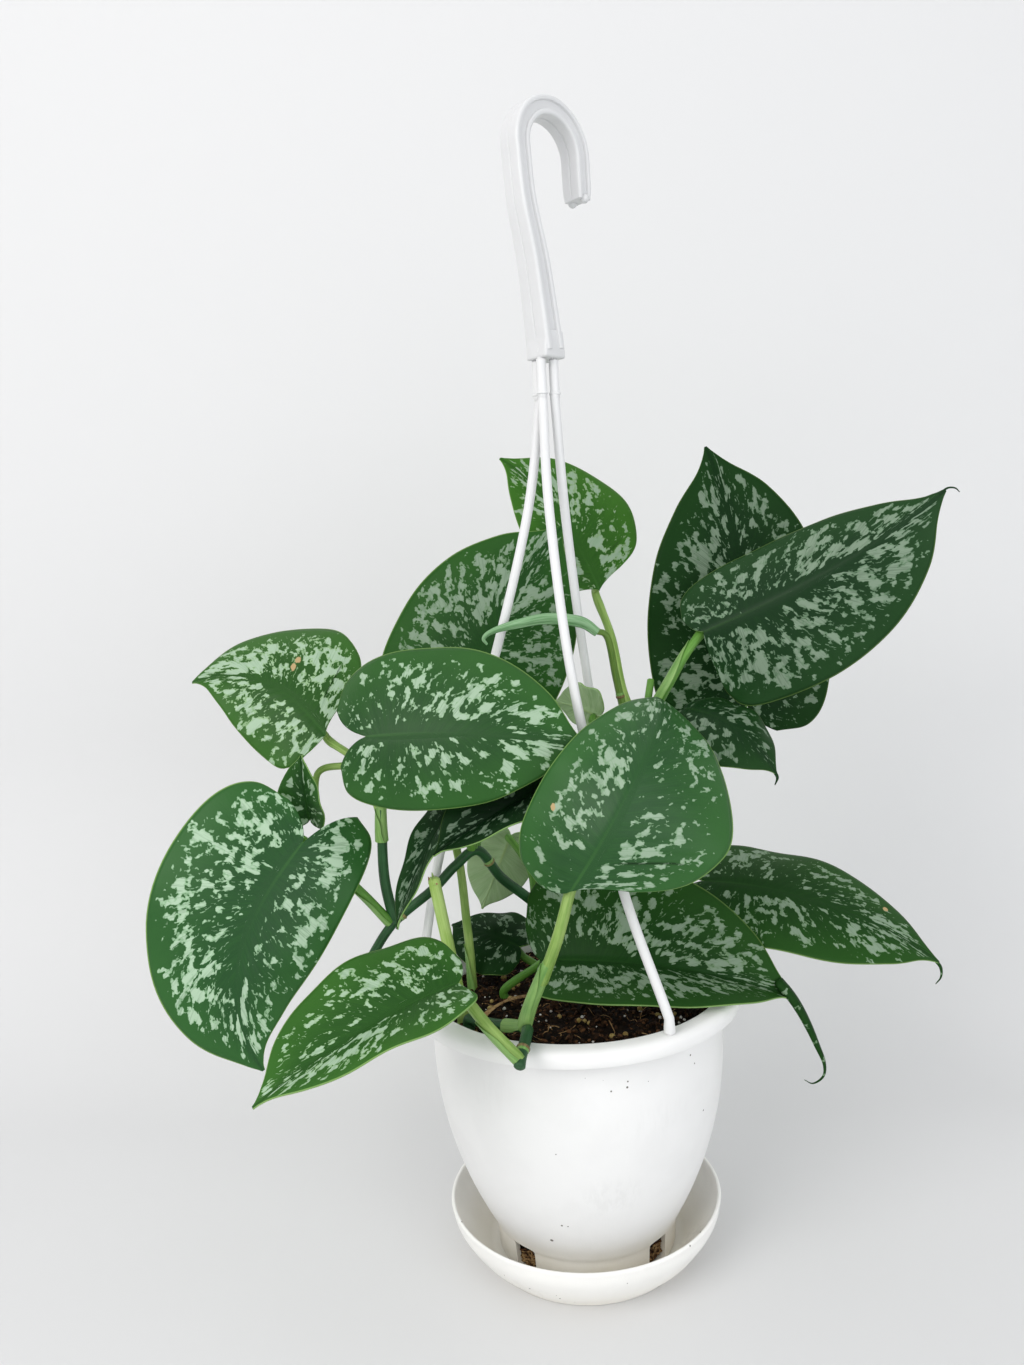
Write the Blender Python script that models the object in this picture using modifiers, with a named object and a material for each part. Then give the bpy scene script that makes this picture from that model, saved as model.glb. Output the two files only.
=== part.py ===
# Satin pothos growing in a white plastic hanging pot, with its saucer and three-strand hanger.
# Metres, +Z up. The origin is the centre of the saucer's underside and -Y is the front of the plant.
import math

import bmesh
import bpy
import numpy as np
from mathutils import Matrix, Vector, noise

ROUND_STEPS = 40
CLEAR = 0.0003
WELD_DISTANCE = 0.00002
SHARP_ANGLE = math.radians(35)

# Saucer
SAUCER_RIM_RADIUS = 0.0673
SAUCER_HEIGHT = 0.0280
SAUCER_FOOT_RADIUS = 0.0500
SAUCER_WALL = 0.0018
SAUCER_FLOOR = 0.0030
SAUCER_FOOT_RISE = 0.0024

# Pot
POT_BASE = SAUCER_FLOOR + CLEAR
POT_HEIGHT = 0.1360
FOOT_RADIUS = 0.0440
FOOT_TOP = 0.0190
BODY_TOP = 0.1260
BODY_TOP_RADIUS = 0.0700
BODY_BULGE = 0.0755
POT_WALL = 0.0018
POT_FLOOR = 0.0022
LIP_RADIUS = 0.0800
LIP_HEIGHT = 0.0075
LIP_WALL = 0.0015
NOTCH_COUNT = 4
NOTCH_FIRST_ANGLE = math.radians(-132)
NOTCH_WIDTH = 0.0125
NOTCH_TOP = 0.0200

# Potting mix
SOIL_TOP = 0.1265
SOIL_ROUGHNESS = 0.0022
SOIL_LUMP = 0.016
SOIL_GRAIN = 0.0065

# Hanger
HOOK_TURN = math.radians(45)
HOOK_BASE = 0.4340
HOOK_ARCH_CENTRE = (0.0078, 0.0934)
HOOK_ARCH_RADIUS = 0.0194
HOOK_STEM = [(0.0012, 0.004), (-0.0037, 0.042), (-0.0095, 0.069)]
HOOK_ARM_END = (0.0276, 0.076)
HOOK_WIDTH = 0.0128
HOOK_DEPTH = 0.0096
HOOK_FLANGE = 0.0022
HOOK_RECESS = 0.0012
HOOK_CORNER = 0.0012
CLASP_SIZE = (0.0134, 0.0132, 0.0126)
CLASP_OFFSET = 0.0012
CLASP_TOP_SHARE = 0.84
STRAND_RADIUS = 0.00225
STRAND_NECK_RADIUS = 0.0017
STRAND_RING_HEIGHT = 0.418
STRAND_HOLE_CIRCLE = 0.0755
STRAND_KNOB_RADIUS = 0.0023
SOCKET_FLOOR = 0.0050
STRANDS = {
    "strand_front": dict(
        foot_angle=math.radians(-58.4),
        route=[(-0.0016, -0.0036, 0.412), (-0.0010, -0.0060, 0.362), (0.0058, -0.0240, 0.285),
               (0.0218, -0.0450, 0.200)]),
    "strand_left": dict(
        foot_angle=math.radians(182.0),
        route=[(-0.0036, 0.0018, 0.412), (-0.0120, 0.0025, 0.362), (-0.0330, 0.0030, 0.290),
               (-0.0620, 0.0010, 0.205)]),
    "strand_back": dict(
        foot_angle=math.radians(62.0),
        route=[(0.0042, 0.0010, 0.412), (0.0065, 0.0090, 0.362), (0.0130, 0.0280, 0.290),
               (0.0240, 0.0480, 0.205)]),
}

# Leaf blades. Each is set by the point where its petiole meets it, its tip and the way its upper side faces.
# Pairs are for the blade's own left and right half. Angles are in degrees. A lobe is the share of the length
# that reaches back past the petiole, and a negative one slopes forward. sweep turns the midrib sideways and
# bend turns it down along its length, folds tip the halves up about it, up to the last share of the length,
# and cup rounds them off.
BLADE_THICKNESS = 0.0008
BLADE_ROWS = 9
BLADE_HALF_COLUMNS = 3
TIP_HALF_WIDTH = 0.0006
TIP_SHARE = 0.03
BLADE_WAVE = 0.0012
BLADE_WAVES = 2.2
WAVE_STARTS = (1.0, 2.8)
SWEEP_POWER = 1.6
LOBE_NOD = 1.2
FLAT_TIP_SHARE = 0.2
LEAVES = {
    "leaf_low_left": dict(
        base=(-0.121, -0.035, 0.219), tip=(-0.139, -0.062, 0.124), face=(0.35, -0.90, 0.30),
        widths=(0.036, 0.049), lobes=(0.26, 0.12), sweep=75, bend=30, folds=(-5, -3), cup=-15),
    "leaf_front_left": dict(
        base=(-0.049, -0.075, 0.166), tip=(-0.124, -0.125, 0.140), face=(0.00, -0.15, 1.00),
        widths=(0.026, 0.035), lobes=(-0.05, 0.10), sweep=-10, bend=30, folds=(15, 22), cup=-15),
    "leaf_left": dict(
        base=(-0.114, -0.005, 0.264), tip=(-0.186, 0.020, 0.290), face=(0.05, -0.90, 0.45),
        widths=(0.030, 0.045), lobes=(0.02, -0.20), sweep=65, bend=35, folds=(-5, 0), cup=-20),
    "leaf_middle_left": dict(
        base=(-0.088, -0.038, 0.267), tip=(0.011, -0.050, 0.259), face=(0.0, -0.93, 0.37),
        widths=(0.043, 0.034), lobes=(0.21, 0.16), sweep=-10, bend=30, folds=(0, -8), cup=-20),
    "leaf_front": dict(
        base=(0.000, -0.080, 0.205), tip=(0.045, -0.018, 0.275), face=(0.10, -0.97, 0.20),
        widths=(0.037, 0.050), lobes=(0.09, -0.20), sweep=0, bend=125, folds=(-25, -5), cup=-15),
    "leaf_centre_back": dict(
        base=(-0.056, 0.026, 0.269), tip=(0.005, 0.042, 0.359), face=(-0.05, -0.97, 0.20),
        widths=(0.048, 0.045), lobes=(0.14, 0.14), sweep=-10, bend=20, folds=(0, 0), cup=-15),
    "leaf_top": dict(
        base=(0.023, 0.052, 0.325), tip=(-0.026, 0.060, 0.397), face=(0.2, -0.9, 0.4),
        widths=(0.025, 0.043), lobes=(-0.10, -0.15), sweep=25, bend=25, folds=(0, -5), cup=-15, seat=-0.0004),
    "leaf_right_back": dict(
        base=(0.097, 0.050, 0.262), tip=(0.082, 0.062, 0.397), face=(0.05, -0.95, 0.20),
        widths=(0.050, 0.048), lobes=(0.12, 0.12), sweep=20, bend=15, folds=(0, 0), cup=-15),
    "leaf_right": dict(
        base=(0.071, 0.014, 0.303), tip=(0.178, -0.012, 0.363), face=(0.10, -0.97, 0.20),
        widths=(0.034, 0.046), lobes=(0.08, 0.02), sweep=18, bend=15, folds=(-35, -3), cup=-12),
    "leaf_right_small": dict(
        base=(0.059, 0.004, 0.267), tip=(0.097, -0.020, 0.238), face=(0.25, -0.7, 0.65),
        widths=(0.024, 0.026), lobes=(0.06, 0.06), sweep=0, bend=80, folds=(-5, 0), cup=-30),
    "leaf_low_right_back": dict(
        base=(0.069, 0.028, 0.174), tip=(0.178, 0.003, 0.136), face=(0.1, -0.5, 0.85),
        widths=(0.035, 0.035), lobes=(0.14, 0.14), sweep=0, bend=50, folds=(0, 0), cup=-20),
    "leaf_low_right": dict(
        base=(-0.0165, -0.008, 0.149), tip=(0.103, -0.021, 0.131), face=(0, -0.80, 0.60),
        widths=(0.048, 0.033), lobes=(0.075, -0.04), sweep=-8, bend=40, folds=(10, 45), cup=-12),
    "leaf_soil_back": dict(
        base=(-0.028, 0.025, 0.144), tip=(-0.065, 0.048, 0.149), face=(0.1, -0.5, 0.85),
        widths=(0.022, 0.022), lobes=(0.12, 0.12), sweep=0, bend=20, folds=(0, 0), cup=-20),
    "leaf_left_edge": dict(
        base=(-0.1240, -0.008, 0.2230), tip=(-0.1250, -0.011, 0.2560), face=(-0.25, -0.95, 0.10),
        widths=(0.013, 0.013), lobes=(0.06, 0.06), sweep=0, bend=20, folds=(34, 34), cup=-10),
    "leaf_inner_left": dict(
        base=(-0.0515, -0.022, 0.233), tip=(-0.0805, -0.034, 0.176), face=(-0.78, -0.62, 0.1),
        widths=(0.011, 0.013), lobes=(0.06, 0.06), sweep=10, bend=15, folds=(18, 12), cup=-10),
    "leaf_inner": dict(
        base=(-0.002, -0.032, 0.242), tip=(-0.060, -0.045, 0.213), face=(0.1, -0.55, 0.8),
        widths=(0.023, 0.023), lobes=(0.08, 0.08), sweep=0, bend=20, folds=(35, 35), cup=-10),
    "leaf_back_pale": dict(
        base=(-0.030, 0.040, 0.199), tip=(-0.048, 0.046, 0.158), face=(0.1, 0.9, 0.3),
        widths=(0.018, 0.018), lobes=(0.12, 0.12), sweep=0, bend=25, folds=(5, 5), cup=-20),
    "leaf_back_dark": dict(
        base=(0.018, 0.000, 0.266), tip=(-0.003, 0.010, 0.273), face=(0.1, 0.85, 0.5),
        widths=(0.016, 0.011), lobes=(0.12, 0.12), sweep=0, bend=25, folds=(5, 5), cup=-20),
}

# The long rolled tip of one blade, as the points and end radii of a taper that grows out of it.
DRIP_TIPS = {
    "leaf_low_right": dict(
        points=[(0.0970, -0.0205, 0.1370), (0.1030, -0.0220, 0.1290), (0.1070, -0.0235, 0.1200),
                (0.1110, -0.0245, 0.1100), (0.1145, -0.0255, 0.1015), (0.1138, -0.0260, 0.0950),
                (0.1090, -0.0260, 0.0916), (0.1050, -0.0260, 0.0930)],
        radii=(0.0034, 0.0006)),
}

# The young leaf that is still rolled up, as the points and radii of its roll.
ROLLED_LEAF = [(0.0190, 0.0050, 0.3060), (0.0110, 0.0035, 0.3115), (-0.0050, 0.0000, 0.3140),
               (-0.0210, -0.0045, 0.3120), (-0.0310, -0.0070, 0.3095), (-0.0350, -0.0080, 0.3065),
               (-0.0335, -0.0080, 0.3035)]
ROLLED_LEAF_RADII = [0.0016, 0.0022, 0.0025, 0.0020, 0.0012, 0.0009, 0.0006]

# Vines. Each stem is (points, first radius, last radius). A rooted one starts at an (x, y) in the potting
# mix. A petiole runs from its node, or from an (x, y) in the potting mix, to the base of its leaf.
STEM_RADIUS = 0.0028
PETIOLE_RADIUS = 0.0018
PETIOLE_FOOT_RADIUS = 0.00216
PETIOLE_ARRIVAL = 0.007
PETIOLE_REACH = 0.003
PETIOLE_SEAT = 0.0002
STEM_DEPTH = 0.012
VINES = {
    "vine_front": dict(
        rooted=[([(-0.050, -0.034), (-0.046, -0.038, 0.1325), (-0.036, -0.047, 0.1345),
                  (-0.023, -0.060, 0.1385), (-0.0215, -0.076, 0.1425), (-0.0235, -0.087, 0.1390),
                  (-0.0242, -0.0915, 0.1365)], 0.0026, 0.0024)],
        stems=[([(-0.023, -0.061, 0.1390), (-0.019, -0.066, 0.152), (-0.011, -0.073, 0.172)],
                0.0032, 0.0024)],
        petioles={
            "leaf_front": [(-0.014, -0.070, 0.163), (-0.006, -0.076, 0.185)],
            "leaf_front_left": [(-0.0238, -0.0890, 0.1380), (-0.036, -0.085, 0.1500)]}),
    "vine_left": dict(
        rooted=[([(0.002, 0.022), (-0.002, 0.022, 0.142), (-0.017, 0.018, 0.167), (-0.034, 0.008, 0.186),
                  (-0.044, -0.002, 0.203), (-0.055, -0.006, 0.197), (-0.066, -0.010, 0.187),
                  (-0.086, -0.015, 0.172), (-0.098, -0.030, 0.156)], STEM_RADIUS, 0.0022)],
        stems=[([(-0.085, -0.014, 0.1725), (-0.089, -0.012, 0.195), (-0.088, -0.013, 0.228)],
                0.0027, 0.0023)],
        petioles={
            "leaf_low_left": [(-0.087, -0.015, 0.173), (-0.100, -0.018, 0.190)],
            "leaf_left": [(-0.088, -0.013, 0.226), (-0.091, -0.009, 0.245), (-0.103, -0.006, 0.254)],
            "leaf_left_edge": [(-0.0885, -0.0125, 0.224), (-0.097, -0.002, 0.2445), (-0.110, 0.002, 0.2470),
                               (-0.1215, 0.003, 0.2430)],
            "leaf_centre_back": [(-0.045, -0.002, 0.203), (-0.043, 0.016, 0.230), (-0.053, 0.033, 0.252)],
            "leaf_inner_left": [(-0.047, -0.003, 0.203), (-0.047, -0.014, 0.218)],
            "leaf_back_pale": [(-0.018, 0.017, 0.168), (-0.020, 0.026, 0.184)]}),
    "vine_right": dict(
        rooted=[([(0.022, 0.014), (0.028, 0.016, 0.150), (0.036, 0.018, 0.200), (0.042, 0.017, 0.262),
                  (0.045, 0.020, 0.280)], STEM_RADIUS, 0.0018)],
        stems=[],
        petioles={
            "leaf_top": [(0.0415, 0.018, 0.252), (0.032, 0.028, 0.272), (0.028, 0.046, 0.300)],
            "leaf_right": [(0.0420, 0.017, 0.260), (0.052, 0.012, 0.277), (0.062, 0.016, 0.292)],
            "leaf_right_back": [(0.0390, 0.018, 0.225), (0.055, 0.044, 0.238), (0.078, 0.062, 0.251)],
            "leaf_right_small": [(0.0415, 0.017, 0.250), (0.048, 0.010, 0.260)],
            "leaf_low_right_back": [(0.0290, 0.016, 0.155), (0.048, 0.026, 0.157)],
            "leaf_inner": [(0.0375, 0.017, 0.210), (0.024, -0.004, 0.224)],
            "leaf_back_dark": [(0.0395, 0.017, 0.232), (0.030, 0.006, 0.250)],
            "leaf_rolled": [(0.0410, 0.018, 0.246), (0.032, 0.013, 0.262), (0.0275, 0.011, 0.282)]}),
    "petiole_middle": dict(
        rooted=[], stems=[],
        petioles={
            "leaf_middle_left": [(-0.052, 0.012), (-0.053, 0.012, 0.160), (-0.057, 0.012, 0.205),
                                 (-0.072, 0.004, 0.240), (-0.083, -0.016, 0.256)]}),
    "petiole_low_right": dict(
        rooted=[], stems=[],
        petioles={"leaf_low_right": [(-0.0345, 0.0015)]}),
    "petiole_soil_back": dict(
        rooted=[], stems=[],
        petioles={"leaf_soil_back": [(-0.0175, 0.0255)]}),
    "petiole_cut": dict(
        rooted=[([(-0.0535, -0.026), (-0.0570, -0.030, 0.160), (-0.062, -0.035, 0.199)], 0.0030, 0.0028)],
        stems=[], petioles={}),
}

# Looks: a colour in linear RGB and a roughness.
WHITE_PLASTIC = ((0.86, 0.86, 0.85), 0.35)
POTTING_MIX = ((0.045, 0.028, 0.020), 0.90)
LEAF_GREEN = ((0.040, 0.130, 0.045), 0.45)
STEM_GREEN = ((0.130, 0.270, 0.060), 0.50)


def clear_scene():
    """Empties the scene, so that it holds only what this file makes."""
    for thing in list(bpy.data.objects):
        bpy.data.objects.remove(thing, do_unlink=True)


def new_collection(name):
    made = bpy.data.collections.new(name)
    bpy.context.scene.collection.children.link(made)
    return made


def new_material(name, look):
    colour, roughness = look
    made = bpy.data.materials.new(name)
    made.use_nodes = True
    shader = made.node_tree.nodes["Principled BSDF"]
    shader.inputs["Base Color"].default_value = (*colour, 1.0)
    shader.inputs["Roughness"].default_value = roughness
    shader.inputs["Metallic"].default_value = 0.0
    return made


def move_to(thing, collection):
    for held in list(thing.users_collection):
        held.objects.unlink(thing)
    collection.objects.link(thing)


def finish_object(thing, look, collection):
    """Puts an object in one collection, gives it its own material and smooth shading."""
    move_to(thing, collection)
    thing.data.materials.clear()
    thing.data.materials.append(new_material(thing.name, look))
    thing.data.shade_smooth()
    thing.data.set_sharp_from_angle(angle=SHARP_ANGLE)
    return thing


def evaluated_mesh(thing):
    """An object's shape after its modifiers or bevel, as a mesh of its own."""
    bpy.context.view_layer.update()
    graph = bpy.context.evaluated_depsgraph_get()
    return bpy.data.meshes.new_from_object(thing.evaluated_get(graph))


def mesh_object(name, mesh):
    thing = bpy.data.objects.new(name, mesh)
    bpy.context.scene.collection.objects.link(thing)
    return thing


def weld(mesh):
    """Welds a curve's loose caps to its sides."""
    shape = bmesh.new()
    shape.from_mesh(mesh)
    bmesh.ops.remove_doubles(shape, verts=shape.verts, dist=WELD_DISTANCE)
    bmesh.ops.recalc_face_normals(shape, faces=shape.faces)
    shape.to_mesh(mesh)
    shape.free()


def cut(thing, cutters):
    """Cuts every object of a collection out of one object."""
    boolean = thing.modifiers.new("cut", "BOOLEAN")
    boolean.operation = "DIFFERENCE"
    boolean.operand_type = "COLLECTION"
    boolean.collection = cutters
    for cutter in cutters.objects:
        cutter.hide_render = True
        cutter.display_type = "WIRE"


def round_cutter(collection, x, y, z, radius, depth, vertices):
    """A plain upright cylinder that cuts a round hole."""
    bpy.ops.mesh.primitive_cylinder_add(vertices=vertices, radius=radius, depth=depth, location=(x, y, z))
    move_to(bpy.context.object, collection)


def turned(name, profile):
    """A solid turned about Z from a profile that starts and ends on the axis."""
    mesh = bpy.data.meshes.new(name)
    points = [(r, 0.0, z) for r, z in profile]
    mesh.from_pydata(points, [(i, i + 1) for i in range(len(points) - 1)], [])
    thing = mesh_object(name, mesh)
    screw = thing.modifiers.new("turn", "SCREW")
    screw.steps = ROUND_STEPS
    screw.render_steps = ROUND_STEPS
    screw.use_merge_vertices = True
    screw.merge_threshold = 0.00005
    screw.use_normal_calculate = True
    return thing


def catmull_rom(a, b, c, d, t):
    """The point at share t between b and c on the smooth curve through a, b, c and d."""
    return 0.5 * (2 * b + (c - a) * t + (2 * a - 5 * b + 4 * c - d) * t**2 + (3 * b - a - 3 * c + d) * t**3)


def smooth_route(points, per_span):
    """Points on a smooth curve through the given ones."""
    knots = [np.array(p, float) for p in points]
    knots = [2 * knots[0] - knots[1], *knots, 2 * knots[-1] - knots[-2]]
    made = []
    for a, b, c, d in zip(knots, knots[1:], knots[2:], knots[3:]):
        made += [catmull_rom(a, b, c, d, t) for t in np.linspace(0, 1, per_span, endpoint=False)]
    made.append(knots[-2])
    return made


def bar_from_curve(name, curve, points, radii):
    """Turns a curve with a bevel into a closed mesh object along the points."""
    curve.use_fill_caps = True
    spline = curve.splines.new("POLY")
    spline.points.add(len(points) - 1)
    for knot, point, radius in zip(spline.points, points, radii):
        knot.co = (*point, 1.0)
        knot.radius = radius
    guide = mesh_object(name + "_line", curve)
    mesh = evaluated_mesh(guide)
    bpy.data.objects.remove(guide)
    weld(mesh)
    return mesh_object(name, mesh)


def tube(name, points, radii, sides_level=2):
    """A round bar through the points. radii holds one value for each point."""
    curve = bpy.data.curves.new(name, "CURVE")
    curve.dimensions = "3D"
    curve.bevel_depth = 1.0
    curve.bevel_resolution = sides_level
    return bar_from_curve(name, curve, points, radii)


def fused(name, pieces, look, collection):
    """Joins overlapping pieces into one solid with a Boolean union."""
    first, others = pieces[0], pieces[1:]
    if others:
        group = new_collection(name + "_pieces")
        for thing in others:
            move_to(thing, group)
        union = first.modifiers.new("union", "BOOLEAN")
        union.operation = "UNION"
        union.operand_type = "COLLECTION"
        union.collection = group
        mesh = evaluated_mesh(first)
        first.modifiers.clear()
        first.data = mesh
        for thing in list(group.objects):
            bpy.data.objects.remove(thing)
        bpy.data.collections.remove(group)
    first.name = name
    return finish_object(first, look, collection)


def body_radius(share):
    """The pot's outer radius at a share of the height between its foot and its rim: a bulging curve."""
    low = (FOOT_RADIUS + 0.003) * (1 - share) ** 2
    return low + 2 * share * (1 - share) * BODY_BULGE + share**2 * BODY_TOP_RADIUS


def body_curve(inset, shares):
    """Points of the pot's bulging wall, moved inwards by inset."""
    low = FOOT_TOP + 0.002
    return [(body_radius(share) - inset, low + (BODY_TOP - low) * share) for share in shares]


def make_saucer(collection):
    rim, foot, wall, height = SAUCER_RIM_RADIUS, SAUCER_FOOT_RADIUS, SAUCER_WALL, SAUCER_HEIGHT
    profile = [
        (0.0, SAUCER_FLOOR),
        (foot - 0.004, SAUCER_FLOOR),
        (foot - 0.001, SAUCER_FLOOR + 0.001),
        (foot + 0.006, 0.010),
        (rim - wall - 0.0025, 0.020),
        (rim - wall, height - 0.0006),
        (rim - 0.5 * wall, height),
        (rim, height - 0.0006),
        (rim - 0.0020, 0.0195),
        (foot + 0.0080, 0.0085),
        (foot + 0.0020, SAUCER_FLOOR),
        (foot + 0.0008, SAUCER_FOOT_RISE),
        (foot, 0.0),
        (0.0, 0.0),
    ]
    return finish_object(turned("saucer", profile), WHITE_PLASTIC, collection)


def pot_profile():
    """The pot's section, up the inside, over the rolled rim and down the outside."""
    shares = np.linspace(0, 1, 7)
    lip_bottom = POT_HEIGHT - LIP_HEIGHT
    floor = POT_BASE + POT_FLOOR
    return [
        (0.0, floor),
        (FOOT_RADIUS - 0.0028, floor),
        (FOOT_RADIUS - POT_WALL + 0.0008, FOOT_TOP),
        *body_curve(POT_WALL, shares),
        (0.0706, 0.1325),
        (0.0712, POT_HEIGHT - 0.0008),
        (0.0722, POT_HEIGHT),
        (0.0765, POT_HEIGHT - 0.0003),
        (LIP_RADIUS - 0.0010, POT_HEIGHT - 0.0020),
        (LIP_RADIUS, POT_HEIGHT - 0.0042),
        (LIP_RADIUS, lip_bottom),
        (LIP_RADIUS - LIP_WALL, lip_bottom),
        (LIP_RADIUS - LIP_WALL - 0.0001, POT_HEIGHT - 0.0038),
        (0.0765, POT_HEIGHT - 0.0021),
        (0.0730, POT_HEIGHT - 0.0022),
        (0.0722, 0.1310),
        *reversed(body_curve(0.0, shares)),
        (FOOT_RADIUS + 0.0022, FOOT_TOP + 0.0002),
        (FOOT_RADIUS + 0.0012, FOOT_TOP - 0.0008),
        (FOOT_RADIUS, POT_BASE),
        (0.0, POT_BASE),
    ]


def make_pot(collection):
    """The turned pot, with the drain notches round its foot and a hole in its rim for each strand."""
    pot = turned("pot", pot_profile())
    cutters = new_collection("pot_cutters")
    low = POT_BASE + POT_FLOOR + 0.0004
    for i in range(NOTCH_COUNT):
        angle = NOTCH_FIRST_ANGLE + i * 2 * math.pi / NOTCH_COUNT
        bpy.ops.mesh.primitive_cube_add(size=1.0)
        notch = bpy.context.object
        notch.data.transform(Matrix.Diagonal((0.012, NOTCH_WIDTH, NOTCH_TOP - low, 1.0)))
        notch.location = (FOOT_RADIUS * math.cos(angle), FOOT_RADIUS * math.sin(angle), (NOTCH_TOP + low) / 2)
        notch.rotation_euler = (0, 0, angle)
        move_to(notch, cutters)
    for strand in STRANDS.values():
        x, y, z = strand_foot(strand)
        round_cutter(cutters, x, y, z, STRAND_NECK_RADIUS + CLEAR, 0.008, 16)
    cut(pot, cutters)
    return finish_object(pot, WHITE_PLASTIC, collection)


def strand_foot(strand):
    """Where a strand passes through the pot's rim."""
    angle = strand["foot_angle"]
    return (STRAND_HOLE_CIRCLE * math.cos(angle), STRAND_HOLE_CIRCLE * math.sin(angle), POT_HEIGHT)


def make_strands(collection):
    """The three hanger strands, each necked at both ends: into the clasp above and through the rim below."""
    for name, strand in STRANDS.items():
        x, y, rim = strand_foot(strand)
        top_x, top_y, _ = strand["route"][0]
        shoulder = HOOK_BASE - CLEAR
        ring = STRAND_RING_HEIGHT
        head = [(SOCKET_FLOOR + shoulder, STRAND_NECK_RADIUS), (shoulder + 0.0001, STRAND_NECK_RADIUS),
                (shoulder, STRAND_RADIUS * 1.1), (ring, STRAND_RADIUS * 1.1), (ring - 0.0004, STRAND_RADIUS)]
        route = smooth_route([(top_x, top_y, ring - 0.001), *strand["route"], (x, y, rim + 0.0045)], 3)
        tail = [(rim + 0.0022, STRAND_RADIUS * 1.15), (rim + CLEAR + 0.0001, STRAND_RADIUS * 1.15),
                (rim + CLEAR, STRAND_NECK_RADIUS), (rim - 0.0038, STRAND_NECK_RADIUS),
                (rim - 0.0040, STRAND_KNOB_RADIUS), (rim - 0.0062, STRAND_KNOB_RADIUS * 0.8)]
        points = [(top_x, top_y, z) for z, _ in head] + route + [(x, y, z) for z, _ in tail]
        radii = [r for _, r in head] + [STRAND_RADIUS] * len(route) + [r for _, r in tail]
        finish_object(tube(name, points, radii), WHITE_PLASTIC, collection)


def hook_route():
    """The hook's centre line in its own plane: the leaning stem, the round arch and the short arm."""
    cx, cz = HOOK_ARCH_CENTRE
    arch = [(cx - HOOK_ARCH_RADIUS * math.cos(t), cz + HOOK_ARCH_RADIUS * math.sin(t), 0.0)
            for t in np.linspace(0, math.pi, 13)]
    stem = smooth_route([(x, y, 0.0) for x, y in HOOK_STEM] + arch[:1], 3)
    return stem[:-1] + arch + [(*HOOK_ARM_END, 0.0)]


def hook_section():
    """The hook's section, as a closed flat curve: two round-cornered flanges and the recess between them."""
    flange, recess, corner = HOOK_FLANGE, HOOK_RECESS, HOOK_CORNER
    x, y = HOOK_DEPTH / 2, HOOK_WIDTH / 2
    half = [(x, y - corner), (x - corner, y), (x - flange, y), (x - flange - 0.0004, y - recess)]
    half += [(-a, b) for a, b in reversed(half)]
    points = half + [(a, -b) for a, b in reversed(half)]
    outline = bpy.data.curves.new("hook_section", "CURVE")
    outline.dimensions = "2D"
    loop = outline.splines.new("POLY")
    loop.points.add(len(points) - 1)
    for knot, (a, b) in zip(loop.points, points):
        knot.co = (a, b, 0.0, 1.0)
    loop.use_cyclic_u = True
    return mesh_object("hook_section", outline)


def hook_clasp():
    """The square clasp under the hook that holds the three strands, a little narrower at its top."""
    width, depth, height = CLASP_SIZE
    bpy.ops.mesh.primitive_cube_add(size=1.0)
    clasp = bpy.context.object
    clasp.data.transform(Matrix.Diagonal((width, height, depth, 1.0)))
    clasp.data.transform(Matrix.Translation((CLASP_OFFSET, height / 2, 0.0)))
    for vertex in clasp.data.vertices:
        if vertex.co.y > height / 2:
            vertex.co.x = CLASP_OFFSET + (vertex.co.x - CLASP_OFFSET) * CLASP_TOP_SHARE
    bevel = clasp.modifiers.new("edges", "BEVEL")
    bevel.width = 0.0010
    bevel.segments = 2
    mesh = evaluated_mesh(clasp)
    clasp.modifiers.clear()
    clasp.data = mesh
    return clasp


def make_hook(collection):
    """The hanging hook: a bar of the hook's section, joined to its clasp, with a socket for each strand."""
    curve = bpy.data.curves.new("hook", "CURVE")
    curve.dimensions = "2D"
    curve.bevel_mode = "OBJECT"
    curve.bevel_object = hook_section()
    route = hook_route()
    radii = [1.15 - 0.25 * min(1.0, i / 9) for i in range(len(route))]
    bar = bar_from_curve("hook", curve, route, radii)
    bpy.data.objects.remove(bpy.data.objects["hook_section"])
    clasp = hook_clasp()
    upright = Matrix.Rotation(HOOK_TURN, 4, "Z") @ Matrix.Rotation(math.radians(90), 4, "X")
    for thing in (bar, clasp):
        thing.data.transform(Matrix.Translation((0, 0, HOOK_BASE)) @ upright)
    hook = fused("hook", [bar, clasp], WHITE_PLASTIC, collection)
    cutters = new_collection("hook_cutters")
    for strand in STRANDS.values():
        x, y, _ = strand["route"][0]
        round_cutter(cutters, x, y, HOOK_BASE, STRAND_NECK_RADIUS + CLEAR, 2 * SOCKET_FLOOR, 16)
    cut(hook, cutters)
    return hook


def unit(vector):
    return np.array(vector, float) / np.linalg.norm(vector)


def blade_edge(share, whole, width, lobe):
    """A point of a blade's half outline, from the back of the lobe (0) to the tip (1), as (along, across)."""
    length = whole * (1 - TIP_SHARE)
    back, side, shoulder, widest = -lobe, -0.6 * lobe, 0.10, 0.36
    if lobe <= 0:
        back, side, shoulder, widest = -0.5 * lobe, -lobe, 0.10 - 1.2 * lobe, 0.36 - 0.5 * lobe
    knots = np.array([
        (back * length, 0.42 * width), (side * length, 0.80 * width), (shoulder * length, 0.97 * width),
        (widest * length, 1.00 * width), (0.62 * length, 0.84 * width), (0.82 * length, 0.52 * width),
        (0.94 * length, 0.19 * width), (length, 0.06 * width), (whole, TIP_HALF_WIDTH)])
    before_first = 2 * knots[0] - knots[1] - (0.0, 0.25 * width)
    knots = [before_first, *knots, 2 * knots[-1] - knots[-2]]
    place = share * (len(knots) - 3)
    i = min(int(place), len(knots) - 4)
    return catmull_rom(*knots[i:i + 4], place - i)


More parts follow.
